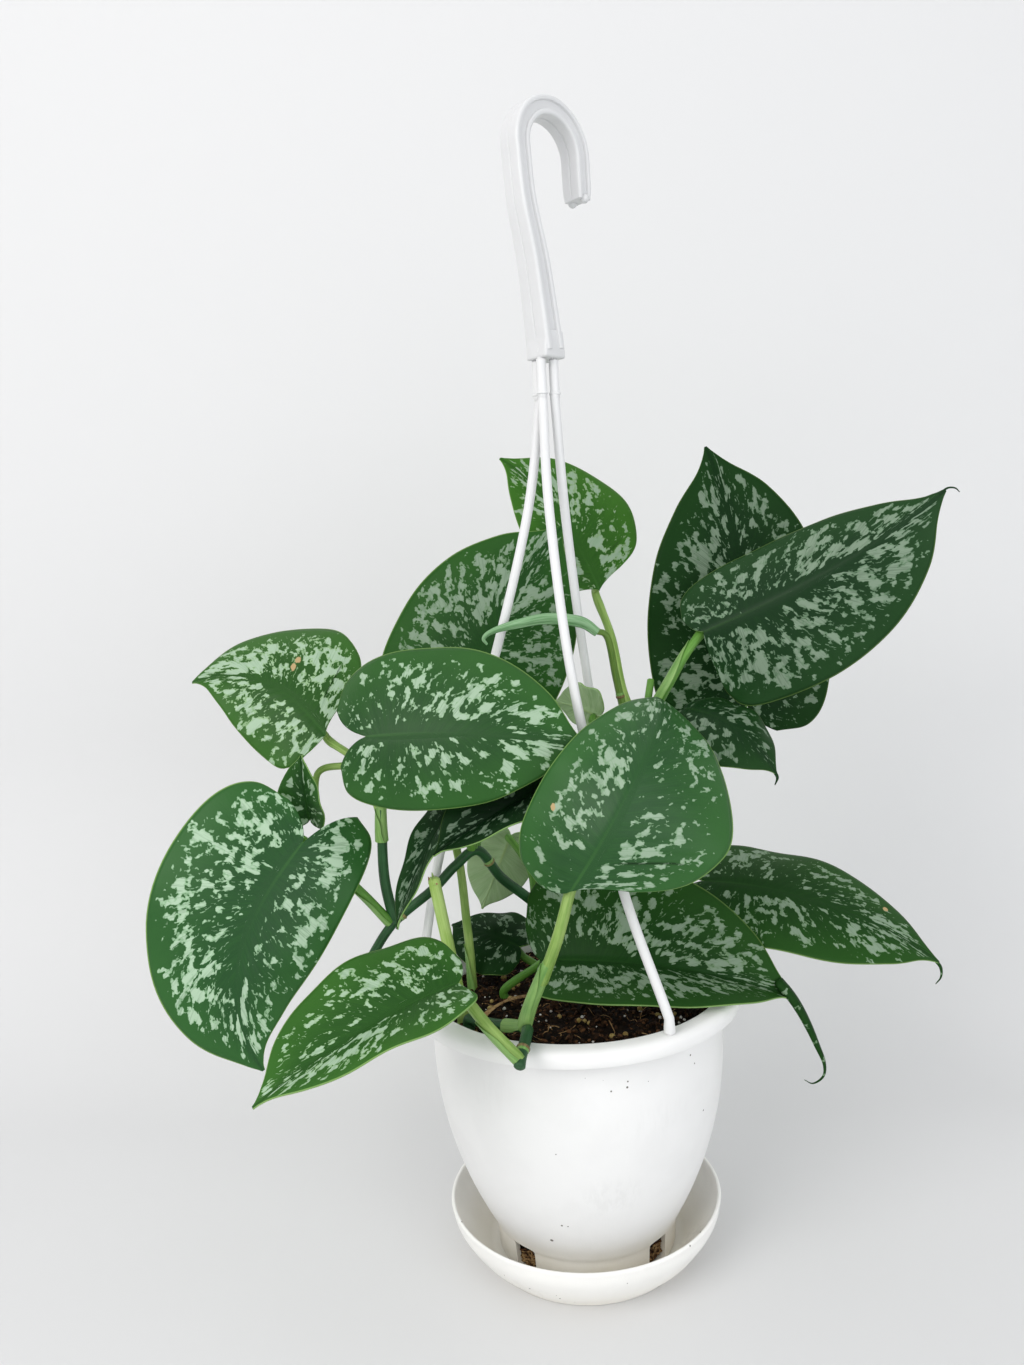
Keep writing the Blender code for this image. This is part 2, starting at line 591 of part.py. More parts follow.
def flat_blade_point(u, v, length, width, lobe):
    """A point of the flat blade: u runs from the lobes to the tip, v from one margin to the other."""
    rib = np.array((length * u**1.5, 0.0))
    edge = blade_edge(u, length, width, lobe)
    bow = (edge + rib) / 2
    if u < 0.25:
        bow *= (1.1, 0.35 + 2.6 * u)
    a = abs(v)
    along, across = (1 - a) ** 2 * rib + 2 * a * (1 - a) * bow + a**2 * edge
    return along, math.copysign(across, v) if v else 0.0


def bent_line(length, turn, power=1.0, steps=40):
    """A line that turns by turn radians in all, evenly along its length or late if power is over 1."""
    shares = np.linspace(0, 1, steps + 1)
    angle = turn * shares**power
    middle = (angle[1:] + angle[:-1]) / 2
    x = np.concatenate([[0], np.cumsum(np.cos(middle))]) * length / steps
    y = np.concatenate([[0], np.cumsum(np.sin(middle))]) * length / steps
    return shares * length, x, y, angle


def along_line(line, s, offset):
    """The point beside a bent line, at s along it and offset to its left."""
    arc, x, y, angle = line
    turned_by = np.interp(s, arc, angle)
    beyond = min(s, 0.0) + max(s - arc[-1], 0.0)
    return (np.interp(s, arc, x) + beyond * math.cos(turned_by) - offset * math.sin(turned_by),
            np.interp(s, arc, y) + beyond * math.sin(turned_by) + offset * math.cos(turned_by))


def local_blade_point(leaf, length, u, v):
    """A point of the bent blade in its own axes: forward, left and up out of its upper side."""
    side = 0 if v >= 0 else 1
    width = leaf["widths"][side]
    along, across = flat_blade_point(u, v, length, width, leaf["lobes"][side])
    tau = min(1.2, abs(across) / width)
    fold = math.radians(leaf["folds"][side]) * min(1.0, (1 - u) / FLAT_TIP_SHARE)
    cup = math.radians(leaf["cup"])
    out = width * (math.sin(fold + cup * tau) - math.sin(fold)) / cup
    lift = width * (math.cos(fold) - math.cos(fold + cup * tau)) / cup
    wave = math.sin(2 * math.pi * BLADE_WAVES * along / length + WAVE_STARTS[side])
    lift += BLADE_WAVE * wave * tau**2
    midrib = bent_line(length, math.radians(leaf["sweep"]), SWEEP_POWER)
    forward, left = along_line(midrib, along, out if side == 0 else -out)
    nod = LOBE_NOD * min(forward, 0.0) ** 2 / length
    fall = bent_line(length, -math.radians(leaf["bend"]))
    forward, up = along_line(fall, forward, lift - nod)
    return np.array((forward, left, up))


def blade_frame(leaf):
    """The blade's length, and the axes and origin that put its base and tip where the leaf has them."""
    base, tip = np.array(leaf["base"]), np.array(leaf["tip"])
    length = np.linalg.norm(tip - base)
    for _ in range(4):
        reach = local_blade_point(leaf, length, 1.0, 0.0)
        length *= np.linalg.norm(tip - base) / np.linalg.norm(reach)
    own_tip, own_up = unit(reach), np.array((0.0, 0.0, 1.0))
    own_up = unit(own_up - own_up.dot(own_tip) * own_tip)
    to_tip, face = unit(tip - base), np.array(leaf["face"], float)
    up = unit(face - face.dot(to_tip) * to_tip)
    own_axes = np.array((own_tip, np.cross(own_up, own_tip), own_up))
    axes = np.array((to_tip, np.cross(up, to_tip), up))
    return length, axes.T @ own_axes, base


def make_blade(name, leaf):
    """A thin blade with the species' heart shape, bent, folded and waved, from one grid."""
    shape = bmesh.new()
    bmesh.ops.create_grid(shape, x_segments=BLADE_ROWS, y_segments=2 * BLADE_HALF_COLUMNS, size=1.0)
    length, turn, base = blade_frame(leaf)
    for vertex in shape.verts:
        u, v = (vertex.co.x + 1) / 2, round(vertex.co.y, 6)
        vertex.co = Vector(base + turn @ local_blade_point(leaf, length, u, v))
    bmesh.ops.triangulate(shape, faces=shape.faces)
    mesh = bpy.data.meshes.new(name)
    shape.to_mesh(mesh)
    shape.free()
    blade = mesh_object(name, mesh)
    skin = blade.modifiers.new("thickness", "SOLIDIFY")
    skin.thickness = BLADE_THICKNESS
    skin.offset = 0.0
    blade.modifiers.new("triangles", "TRIANGULATE")
    return blade


def make_leaves(collection):
    for name, leaf in LEAVES.items():
        blade = make_blade(name, leaf)
        if name in DRIP_TIPS:
            blade.data = evaluated_mesh(blade)
            blade.modifiers.clear()
            points = smooth_route(DRIP_TIPS[name]["points"], 2)
            tip = tube(name + "_tip", points, taper(len(points), *DRIP_TIPS[name]["radii"]), 1)
            fused(name, [blade, tip], LEAF_GREEN, collection)
        else:
            finish_object(blade, LEAF_GREEN, collection)


def petiole_end(leaf):
    """Where a petiole stops, just under its blade, and the direction it arrives in."""
    length, turn, base = blade_frame(leaf)
    forward, normal = turn[:, 0], turn[:, 2]
    arrival = unit(0.75 * normal + 0.66 * forward)
    drop = 0.66 * PETIOLE_RADIUS + BLADE_THICKNESS / 2 + CLEAR + leaf.get("seat", PETIOLE_SEAT)
    return base + PETIOLE_REACH * forward - drop * normal, arrival


def rolled_end():
    """Where the rolled leaf's petiole stops, in line with the roll."""
    start, after = np.array(ROLLED_LEAF[0]), np.array(ROLLED_LEAF[1])
    direction = unit(after - start)
    return start - 2.5 * CLEAR * direction, direction


def from_soil(points):
    """Continues a stem's route down into its hole in the potting mix."""
    x, y = points[0]
    return [(x, y, SOIL_TOP - STEM_DEPTH), (x, y, SOIL_TOP - 0.002), (x, y, SOIL_TOP + 0.005), *points[1:]]


def taper(count, first, last):
    return [first + (last - first) * i / (count - 1) for i in range(count)]


def stem_tube(name, points, first, last):
    route = smooth_route(points, 2)
    return tube(name, route, taper(len(route), first, last), 1)


def petiole_tube(name, points):
    """A leaf's stalk, from its first point to just under the blade."""
    last = PETIOLE_RADIUS
    if name == "leaf_rolled":
        end, arrival = rolled_end()
        last = ROLLED_LEAF_RADII[0]
    else:
        end, arrival = petiole_end(LEAVES[name])
    route = from_soil(points) if len(points[0]) == 2 else list(points)
    route += [tuple(end - PETIOLE_ARRIVAL * arrival), tuple(end)]
    return stem_tube(name + "_petiole", route, PETIOLE_FOOT_RADIUS, last)


def make_vines(collection):
    """The vines, each with the stalks of its leaves as one solid, and the stalks that rise from the soil."""
    for name, vine in VINES.items():
        pieces = [stem_tube(name, from_soil(points), first, last) for points, first, last in vine["rooted"]]
        pieces += [stem_tube(name, *stem) for stem in vine["stems"]]
        pieces += [petiole_tube(leaf, points) for leaf, points in vine["petioles"].items()]
        fused(name, pieces, STEM_GREEN, collection)


def soil_entries():
    """Where stems go into the potting mix, as (x, y, radius)."""
    entries = []
    for vine in VINES.values():
        entries += [(*points[0], first) for points, first, _ in vine["rooted"]]
        entries += [(*points[0], PETIOLE_FOOT_RADIUS) for points in vine["petioles"].values()
                    if len(points[0]) == 2]
    return entries


def make_rolled_leaf(collection):
    route = smooth_route(ROLLED_LEAF, 3)
    places = np.linspace(0, len(ROLLED_LEAF) - 1, len(route))
    radii = np.interp(places, range(len(ROLLED_LEAF)), ROLLED_LEAF_RADII)
    finish_object(tube("leaf_rolled", route, radii, 1), LEAF_GREEN, collection)


def soil_height(x, y):
    """The lumpy surface of the potting mix."""
    lumps = noise.noise(Vector((x / SOIL_LUMP, y / SOIL_LUMP, 3.0)))
    grains = noise.noise(Vector((x / SOIL_GRAIN, y / SOIL_GRAIN, 7.0)))
    return SOIL_TOP + SOIL_ROUGHNESS * (lumps + 0.6 * grains)


def make_soil(collection):
    """The potting mix: it fills the pot up to a lumpy top, with a plain hole for each stem."""
    inset = POT_WALL + 3 * CLEAR
    floor = POT_BASE + POT_FLOOR + 2 * CLEAR
    rim = body_radius((SOIL_TOP - FOOT_TOP) / (BODY_TOP - FOOT_TOP)) - inset
    profile = [(0.0, SOIL_TOP)]
    profile += [(r, SOIL_TOP) for r in np.linspace(0, rim, 9)[1:-1]]
    profile += [(rim, SOIL_TOP - 0.001)]
    profile += body_curve(inset, np.linspace(0.9, 0.0, 5))
    profile += [(FOOT_RADIUS - POT_WALL - CLEAR, FOOT_TOP - 0.001), (FOOT_RADIUS - 0.0037, floor + 0.0004),
                (0.0, floor)]
    soil = turned("soil", profile)
    soil.data = evaluated_mesh(soil)
    soil.modifiers.clear()
    for vertex in soil.data.vertices:
        if vertex.co.z > SOIL_TOP - 0.0001:
            vertex.co.z = soil_height(vertex.co.x, vertex.co.y)
    cutters = new_collection("soil_cutters")
    for x, y, radius in soil_entries():
        round_cutter(cutters, x, y, SOIL_TOP, radius + 2 * CLEAR, 2 * (STEM_DEPTH + CLEAR), 10)
    cut(soil, cutters)
    return finish_object(soil, POTTING_MIX, collection)


def main():
    clear_scene()
    plant = new_collection("satin_pothos")
    make_saucer(plant)
    make_pot(plant)
    make_hook(plant)
    make_strands(plant)
    make_soil(plant)
    make_vines(plant)
    make_leaves(plant)
    make_rolled_leaf(plant)


main()
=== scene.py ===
# Satin pothos in a white hanging pot: finer plant, pot and hanger, materials, light and camera.
import math
import random

import bmesh
import bpy
import numpy as np
from mathutils import Matrix, Vector, noise


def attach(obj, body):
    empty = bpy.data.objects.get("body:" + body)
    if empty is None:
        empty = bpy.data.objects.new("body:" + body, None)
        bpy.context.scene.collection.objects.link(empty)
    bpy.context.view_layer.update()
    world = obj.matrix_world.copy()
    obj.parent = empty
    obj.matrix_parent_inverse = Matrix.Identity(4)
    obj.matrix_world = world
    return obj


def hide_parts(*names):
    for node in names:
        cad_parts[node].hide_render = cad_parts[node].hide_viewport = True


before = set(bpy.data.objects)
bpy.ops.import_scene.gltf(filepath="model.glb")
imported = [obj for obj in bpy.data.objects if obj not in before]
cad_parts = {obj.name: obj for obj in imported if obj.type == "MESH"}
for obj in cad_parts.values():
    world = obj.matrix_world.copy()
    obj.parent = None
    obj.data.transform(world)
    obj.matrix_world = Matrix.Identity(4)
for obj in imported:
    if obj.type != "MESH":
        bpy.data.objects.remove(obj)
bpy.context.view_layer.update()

# Helpers for objects

def addToScene(name, data):
    made = bpy.data.objects.new(name, data)
    bpy.context.scene.collection.objects.link(made)
    return made


def objectFrom(name, form):
    # turns a bmesh into an object in the scene
    mesh = bpy.data.meshes.new(name)
    form.to_mesh(mesh)
    form.free()
    return addToScene(name, mesh)


# Camera, floor and light

cameraLook = {
    "place": (0.0, -0.490, 0.334), "turn": 2.7, "down": 5.8, "roll": -3.1,
    "lens": 27.06, "sensor": 36.0,
}
stageLook = {
    "wallDistance": 0.34, "curveRadius": 0.22, "halfWidth": 1.6, "front": -1.2, "height": 1.5,
    "curveSteps": 16, "colour": (0.722, 0.722, 0.725),
}
lightLook = {
    "sky": (0.970, 0.978, 1.0), "skyStrength": 0.68,
    "window": {"place": (-0.9, -1.1, 1.05), "size": 1.1, "power": 12.0, "colour": (1.0, 0.985, 0.96)},
    "fill": {"place": (0.85, -1.3, 0.50), "size": 1.5, "power": 9.0, "colour": (0.95, 0.98, 1.0)},
    "top": {"place": (0.0, -0.1, 1.5), "size": 1.2, "power": 1.5, "colour": (1.0, 1.0, 1.0)},
}


def makeCamera():
    data = bpy.data.cameras.new("camera")
    data.sensor_width = cameraLook["sensor"]
    data.lens = cameraLook["lens"]
    data.clip_start = 0.01
    camera = addToScene("camera", data)
    turn = Matrix.Rotation(math.radians(cameraLook["turn"]), 4, "Z")
    lift = Matrix.Rotation(math.radians(90 - cameraLook["down"]), 4, "X")
    roll = Matrix.Rotation(math.radians(cameraLook["roll"]), 4, "Z")
    camera.matrix_world = Matrix.Translation(cameraLook["place"]) @ turn @ lift @ roll
    bpy.context.scene.camera = camera


def makeLight(name, look, aim=(0.0, 0.0, 0.22)):
    data = bpy.data.lights.new(name, "AREA")
    data.shape = "DISK"
    data.size = look["size"]
    data.energy = look["power"]
    data.color = look["colour"]
    light = addToScene(name, data)
    light.location = look["place"]
    light.rotation_euler = (Vector(aim) - Vector(look["place"])).to_track_quat("-Z", "Y").to_euler()


def makeStage():
    look = stageLook
    radius, wall = look["curveRadius"], look["wallDistance"]
    profile = [(look["front"], 0.0), (wall - radius, 0.0)]
    for step in range(1, look["curveSteps"]):
        angle = math.pi / 2 * step / look["curveSteps"]
        profile.append((wall - radius + radius * math.sin(angle), radius - radius * math.cos(angle)))
    profile += [(wall, radius), (wall, look["height"])]
    sweep = bmesh.new()
    left = [sweep.verts.new((-look["halfWidth"], y, z)) for y, z in profile]
    right = [sweep.verts.new((look["halfWidth"], y, z)) for y, z in profile]
    for i in range(len(profile) - 1):
        sweep.faces.new((left[i], right[i], right[i + 1], left[i + 1]))
    floor = objectFrom("floorSweep", sweep)
    floor.data.shade_smooth()
    paper = bpy.data.materials.new("floorPaper")
    paper.use_nodes = True
    surface = paper.node_tree.nodes["Principled BSDF"]
    surface.inputs["Base Color"].default_value = (*look["colour"], 1.0)
    surface.inputs["Roughness"].default_value = 0.75
    floor.data.materials.append(paper)


def makeWorld():
    world = bpy.data.worlds.new("softSky")
    world.use_nodes = True
    sky = world.node_tree.nodes["Background"]
    sky.inputs["Color"].default_value = (*lightLook["sky"], 1.0)
    sky.inputs["Strength"].default_value = lightLook["skyStrength"]
    bpy.context.scene.world = world
    bpy.context.scene.view_settings.view_transform = "Standard"
    bpy.context.scene.view_settings.look = "None"


makeCamera()
makeStage()
makeWorld()
for lightName in ("window", "fill", "top"):
    makeLight(lightName, lightLook[lightName])
print("camera, floor and light are in place")


# Helpers for shader nodes

def shaderNode(tree, kind, inputs=None, **settings):
    made = tree.nodes.new(kind)
    for key, value in settings.items():
        setattr(made, key, value)
    for key, value in (inputs or {}).items():
        plug(tree, made.inputs[key], value)
    return made


def plug(tree, socket, value):
    if isinstance(value, bpy.types.NodeSocket):
        tree.links.new(value, socket)
    elif socket.type == "RGBA" and len(value) == 3:
        socket.default_value = (*value, 1.0)
    else:
        socket.default_value = value


def calc(tree, operation, first, second=0.0, third=0.0):
    made = shaderNode(tree, "ShaderNodeMath", {0: first, 1: second, 2: third}, operation=operation)
    return made.outputs[0]


def plus(tree, first, second):
    return calc(tree, "ADD", first, second)


def minus(tree, first, second):
    return calc(tree, "SUBTRACT", first, second)


def times(tree, first, second):
    return calc(tree, "MULTIPLY", first, second)


def divide(tree, first, second):
    return calc(tree, "DIVIDE", first, second)


def mixColours(tree, share, first, second):
    made = shaderNode(tree, "ShaderNodeMix", data_type="RGBA")
    for socket, value in ((made.inputs[0], share), (made.inputs[6], first), (made.inputs[7], second)):
        plug(tree, socket, value)
    return made.outputs[2]


def smoothRange(tree, value, low, high, toLow=0.0, toHigh=1.0):
    made = shaderNode(tree, "ShaderNodeMapRange", interpolation_type="SMOOTHSTEP")
    for key, given in (("Value", value), ("From Min", low), ("From Max", high),
                       ("To Min", toLow), ("To Max", toHigh)):
        plug(tree, made.inputs[key], given)
    return made.outputs["Result"]


def noiseAt(tree, vector, scale, detail=2.0, roughness=0.5):
    made = shaderNode(tree, "ShaderNodeTexNoise", {
        "Vector": vector, "Scale": scale, "Detail": detail, "Roughness": roughness})
    return made.outputs["Fac"]


def combine(tree, x, y=0.0, z=0.0):
    return shaderNode(tree, "ShaderNodeCombineXYZ", {"X": x, "Y": y, "Z": z}).outputs[0]


def separate(tree, vector):
    return shaderNode(tree, "ShaderNodeSeparateXYZ", {0: vector}).outputs


def objectPlace(tree):
    return shaderNode(tree, "ShaderNodeTexCoord").outputs["Object"]


def uvPlace(tree, layer):
    return shaderNode(tree, "ShaderNodeUVMap", uv_map=layer).outputs[0]


def newGroup(name, inputs, outputs):
    tree = bpy.data.node_groups.new(name, "ShaderNodeTree")
    for label, kind in inputs:
        tree.interface.new_socket(name=label, in_out="INPUT", socket_type=kind)
    for label, kind in outputs:
        tree.interface.new_socket(name=label, in_out="OUTPUT", socket_type=kind)
    start = tree.nodes.new("NodeGroupInput")
    end = tree.nodes.new("NodeGroupOutput")
    return tree, start.outputs, end.inputs


def useGroup(tree, group, **values):
    made = tree.nodes.new("ShaderNodeGroup")
    made.node_tree = group
    for key, value in values.items():
        plug(tree, made.inputs[key], value)
    return made.outputs


def newMaterial(name):
    material = bpy.data.materials.new(name)
    material.use_nodes = True
    tree = material.node_tree
    return material, tree, tree.nodes["Principled BSDF"]


surfaceNames = {
    "colour": "Base Color", "roughness": "Roughness", "specular": "Specular IOR Level",
    "scatter": "Subsurface Weight", "scatterScale": "Subsurface Scale",
}


def setSurface(tree, surface, height=None, strength=0.5, depth=0.0003, **values):
    # values are plain numbers or sockets; height is a socket that lifts the surface by up to depth metres
    for key, value in values.items():
        plug(tree, surface.inputs[surfaceNames[key]], value)
    if height is not None:
        bump = shaderNode(tree, "ShaderNodeBump", {"Height": height, "Strength": strength, "Distance": depth})
        plug(tree, surface.inputs["Normal"], bump.outputs[0])


def farFrom(tree, place, centre, reach):
    # how far the place lies from the centre, with one at the end of its reach
    away = shaderNode(tree, "ShaderNodeVectorMath", {0: place, 1: centre}, operation="SUBTRACT").outputs[0]
    away = shaderNode(tree, "ShaderNodeVectorMath", {0: away, 1: reach}, operation="DIVIDE").outputs[0]
    return shaderNode(tree, "ShaderNodeVectorMath", {0: away}, operation="LENGTH").outputs["Value"]


def markAt(tree, place, centre, reach, ragged=0.0):
    # one where the place lies within reach of the centre, with a ragged edge
    far = plus(tree, farFrom(tree, place, centre, reach), ragged)
    return smoothRange(tree, far, 0.9, 1.1, 1.0, 0.0)


# Shared effects as node groups

floatSocket, vectorSocket = "NodeSocketFloat", "NodeSocketVector"


def makeBlotchGroup():
    # grain holds tenths of a metre along the side veins and across them, blade the place on the blade
    tree, given, out = newGroup(
        "silverBlotches",
        [("grain", vectorSocket), ("blade", vectorSocket), ("place", vectorSocket), ("seed", floatSocket),
         ("cover", floatSocket)],
        [("blotch", floatSocket), ("core", floatSocket)])
    grain = separate(tree, given["grain"])
    blade = separate(tree, given["blade"])
    side = calc(tree, "ABSOLUTE", calc(tree, "MULTIPLY_ADD", blade[0], 2.0, -1.0))
    wander = shaderNode(tree, "ShaderNodeTexNoise", {
        "Vector": given["place"], "Scale": 130.0, "Detail": 3.0, "Roughness": 0.62}).outputs["Color"]
    wander = separate(tree, wander)
    # along and across are in millimetres from here on
    along = calc(tree, "MULTIPLY_ADD", grain[0], 100.0, calc(tree, "MULTIPLY_ADD", wander[0], 9.0, -4.5))
    across = calc(tree, "MULTIPLY_ADD", grain[1], 100.0, calc(tree, "MULTIPLY_ADD", wander[1], 7.0, -3.5))
    # narrow strips between the side veins start and stop at their own places, which tears the edges
    jagged = along
    for width, reach in ((1.6, 1.7), (0.6, 0.9)):
        strip = calc(tree, "FLOOR", divide(tree, across, width))
        draw = shaderNode(tree, "ShaderNodeTexWhiteNoise", {"W": plus(tree, strip, given["seed"])},
                          noise_dimensions="1D").outputs["Value"]
        jagged = plus(tree, jagged, times(tree, minus(tree, draw, 0.5), reach))
    spread = combine(tree, divide(tree, jagged, 5.6), divide(tree, across, 4.8), given["seed"])
    clump = combine(tree, divide(tree, along, 30.0), divide(tree, across, 22.0), given["seed"])
    small = combine(tree, divide(tree, jagged, 3.0), divide(tree, across, 1.6), given["seed"])
    stray = times(tree, minus(tree, noiseAt(tree, clump, 2.2, 1.0), 0.5), 0.24)
    swayed = plus(tree, side, stray)
    inner = smoothRange(tree, swayed, 0.05, 0.20)
    outer = smoothRange(tree, swayed, 0.78, 1.06, 1.0, 0.0)
    tipFade = smoothRange(tree, blade[1], 0.84, 0.96, 1.0, 0.0)
    region = times(tree, times(tree, inner, outer), tipFade)
    ragged = calc(tree, "MULTIPLY_ADD", noiseAt(tree, given["place"], 185.0, 2.0, 0.55), 0.62, -0.31)
    value = plus(tree, calc(tree, "MULTIPLY_ADD", noiseAt(tree, spread, 1.0, 2.0, 0.45), 0.84, 0.08),
                 times(tree, minus(tree, noiseAt(tree, clump, 1.0, 1.0), 0.5), 0.42))
    value = plus(tree, value, ragged)
    value = plus(tree, value, times(tree, minus(tree, region, 1.0), 0.24))
    limit = minus(tree, 0.645, times(tree, given["cover"], 0.28))
    blotch = smoothRange(tree, value, limit, plus(tree, limit, 0.010))
    plug(tree, out["core"], smoothRange(tree, value, plus(tree, limit, 0.01), plus(tree, limit, 0.08)))
    fleckValue = plus(tree, noiseAt(tree, small, 1.0, 1.0),
                      times(tree, minus(tree, region, 1.0), 0.2))
    fleckLimit = plus(tree, limit, 0.125)
    fleck = smoothRange(tree, fleckValue, fleckLimit, plus(tree, fleckLimit, 0.015))
    plug(tree, out["blotch"], calc(tree, "MAXIMUM", blotch, times(tree, fleck, 0.85)))
    return tree


def makeVeinGroup():
    tree, given, out = newGroup(
        "bladeVeins", [("grain", vectorSocket), ("blade", vectorSocket), ("seed", floatSocket)],
        [("midrib", floatSocket), ("margin", floatSocket), ("streak", floatSocket), ("height", floatSocket)])
    grain = separate(tree, given["grain"])
    blade = separate(tree, given["blade"])
    along = times(tree, grain[0], 100.0)
    across = times(tree, grain[1], 100.0)
    side = calc(tree, "ABSOLUTE", calc(tree, "MULTIPLY_ADD", blade[0], 2.0, -1.0))
    plug(tree, out["midrib"], smoothRange(tree, calc(tree, "ABSOLUTE", along), 0.3, 1.0, 1.0, 0.0))
    plug(tree, out["margin"], smoothRange(tree, side, 0.984, 0.994))
    fine = combine(tree, divide(tree, along, 9.0), divide(tree, across, 0.75), given["seed"])
    coarse = combine(tree, divide(tree, along, 40.0), divide(tree, across, 4.5), given["seed"])
    streak = plus(tree, times(tree, noiseAt(tree, fine, 1.0, 2.0), 0.6),
                  times(tree, noiseAt(tree, coarse, 1.0, 1.0), 0.4))
    plug(tree, out["streak"], streak)
    cells = noiseAt(tree, combine(tree, along, across, given["seed"]), 2.2, 2.0)
    plug(tree, out["height"], plus(tree, times(tree, streak, 0.7),
                                   times(tree, cells, 0.3)))
    return tree


def makeSpeckGroup():
    # scattered dark specks, as rare round dots of uneven size
    tree, given, out = newGroup(
        "scatteredSpecks", [("place", vectorSocket), ("scale", floatSocket), ("share", floatSocket)],
        [("speck", floatSocket)])
    cell = shaderNode(tree, "ShaderNodeTexVoronoi", {"Vector": given["place"], "Scale": given["scale"]})
    draw = shaderNode(tree, "ShaderNodeTexWhiteNoise", {"Vector": cell.outputs["Position"]}).outputs["Value"]
    chosen = calc(tree, "LESS_THAN", draw, given["share"])
    size = calc(tree, "MULTIPLY_ADD", divide(tree, draw, given["share"]), 0.13, 0.03)
    dot = calc(tree, "LESS_THAN", cell.outputs["Distance"], size)
    plug(tree, out["speck"], times(tree, chosen, dot))
    return tree


def makeFibreGroup():
    # streaks that run along a stem; along is in tenths of a metre, and ringX and ringY point round it
    tree, given, out = newGroup(
        "stemFibres", [("along", floatSocket), ("ringX", floatSocket), ("ringY", floatSocket)],
        [("streak", floatSocket), ("height", floatSocket)])
    walked = times(tree, given["along"], 100.0)
    broad = combine(tree, times(tree, given["ringX"], 2.4), times(tree, given["ringY"], 2.4),
                    divide(tree, walked, 16.0))
    fine = combine(tree, times(tree, given["ringX"], 8.0), times(tree, given["ringY"], 8.0),
                   divide(tree, walked, 9.0))
    streak = plus(tree, times(tree, noiseAt(tree, broad, 1.0, 2.0), 0.6),
                  times(tree, noiseAt(tree, fine, 1.0, 2.0), 0.4))
    plug(tree, out["streak"], streak)
    plug(tree, out["height"], noiseAt(tree, fine, 1.5, 3.0))
    return tree


def makePlasticGroup():
    # mottling, grey smears, a fine scratched grain and a share that grows towards the lower edge
    tree, given, out = newGroup(
        "mouldedPlastic", [("place", vectorSocket), ("tintLow", floatSocket), ("tintHigh", floatSocket)],
        [("mottle", floatSocket), ("smear", floatSocket), ("low", floatSocket), ("height", floatSocket)])
    broad = noiseAt(tree, given["place"], 34.0, 3.0, 0.6)
    plug(tree, out["mottle"], smoothRange(tree, broad, 0.40, 0.66))
    spot = shaderNode(tree, "ShaderNodeMapping", {0: given["place"], "Scale": (900.0, 900.0, 160.0)})
    plug(tree, out["smear"], smoothRange(tree, noiseAt(tree, spot.outputs[0], 0.35, 3.0, 0.7), 0.44, 0.62))
    height = separate(tree, given["place"])[2]
    low = smoothRange(tree, height, given["tintLow"], given["tintHigh"], 1.0, 0.0)
    plug(tree, out["low"], times(tree, low, calc(tree, "MULTIPLY_ADD", broad, 0.9, 0.25)))
    scratch = noiseAt(tree, spot.outputs[0], 1.0, 2.0)
    grain = noiseAt(tree, given["place"], 1300.0, 2.0)
    plug(tree, out["height"], plus(tree, times(tree, scratch, 0.5), times(tree, grain, 0.5)))
    return tree


blotchGroup = makeBlotchGroup()
veinGroup = makeVeinGroup()
speckGroup = makeSpeckGroup()
fibreGroup = makeFibreGroup()
plasticGroup = makePlasticGroup()
print("shared shader groups are built")


# Mesh helpers

def unit(vector):
    return np.array(vector, float) / np.linalg.norm(vector)


def roundAngles(count):
    return np.linspace(0, 2 * math.pi, count, endpoint=False)


def catmullRom(a, b, c, d, t):
    return 0.5 * (2 * b + (c - a) * t + (2 * a - 5 * b + 4 * c - d) * t**2 + (3 * b - a - 3 * c + d) * t**3)


def smoothRoute(points, perSpan):
    knots = [np.array(point, float) for point in points]
    knots = [2 * knots[0] - knots[1], *knots, 2 * knots[-1] - knots[-2]]
    made = []
    for a, b, c, d in zip(knots, knots[1:], knots[2:], knots[3:]):
        made += [catmullRom(a, b, c, d, t) for t in np.linspace(0, 1, perSpan, endpoint=False)]
    made.append(knots[-2])
    return np.array(made)


def routeLengths(route):
    steps = np.linalg.norm(np.diff(route, axis=0), axis=1)
    return np.concatenate([[0.0], np.cumsum(steps)])


def taperedRoute(look, perSpan=8):
    # a smooth route through the points, with the radius at each of its own points
    route = smoothRoute(look["points"], look.get("perSpan", perSpan))
    knots = np.linspace(0, len(look["points"]) - 1, len(route))
    return route, np.interp(knots, range(len(look["points"])), look["radii"])


def meshObject(name, vertices, faces, materials, materialIndex=None, uvs=None, smoothAngle=None):
    mesh = bpy.data.meshes.new(name)
    mesh.from_pydata([tuple(v) for v in vertices], [], [tuple(f) for f in faces])
    for material in materials:
        mesh.materials.append(material)
    if materialIndex is not None:
        mesh.polygons.foreach_set("material_index", list(materialIndex))
    for layerName, values in (uvs or {}).items():
        layer = mesh.uv_layers.new(name=layerName)
        corner = np.zeros(len(mesh.loops), np.int32)
        mesh.loops.foreach_get("vertex_index", corner)
        layer.data.foreach_set("uv", np.asarray(values, np.float32)[corner].ravel())
    mesh.shade_smooth()
    if smoothAngle:
        mesh.set_sharp_from_angle(angle=math.radians(smoothAngle))
    mesh.validate()
    return addToScene(name, mesh)


def turnedFaces(rows, steps):
    # faces between rings of points, with one point on the axis before the first ring and one after the last
    faces = []
    for j in range(steps):
        k = (j + 1) % steps
        faces.append((0, 1 + j, 1 + k))
        for i in range(rows - 1):
            a, b = 1 + i * steps, 1 + (i + 1) * steps
            faces.append((a + j, b + j, b + k, a + k))
        a = 1 + (rows - 1) * steps
        faces.append((a + k, a + j, 1 + rows * steps))
    return faces


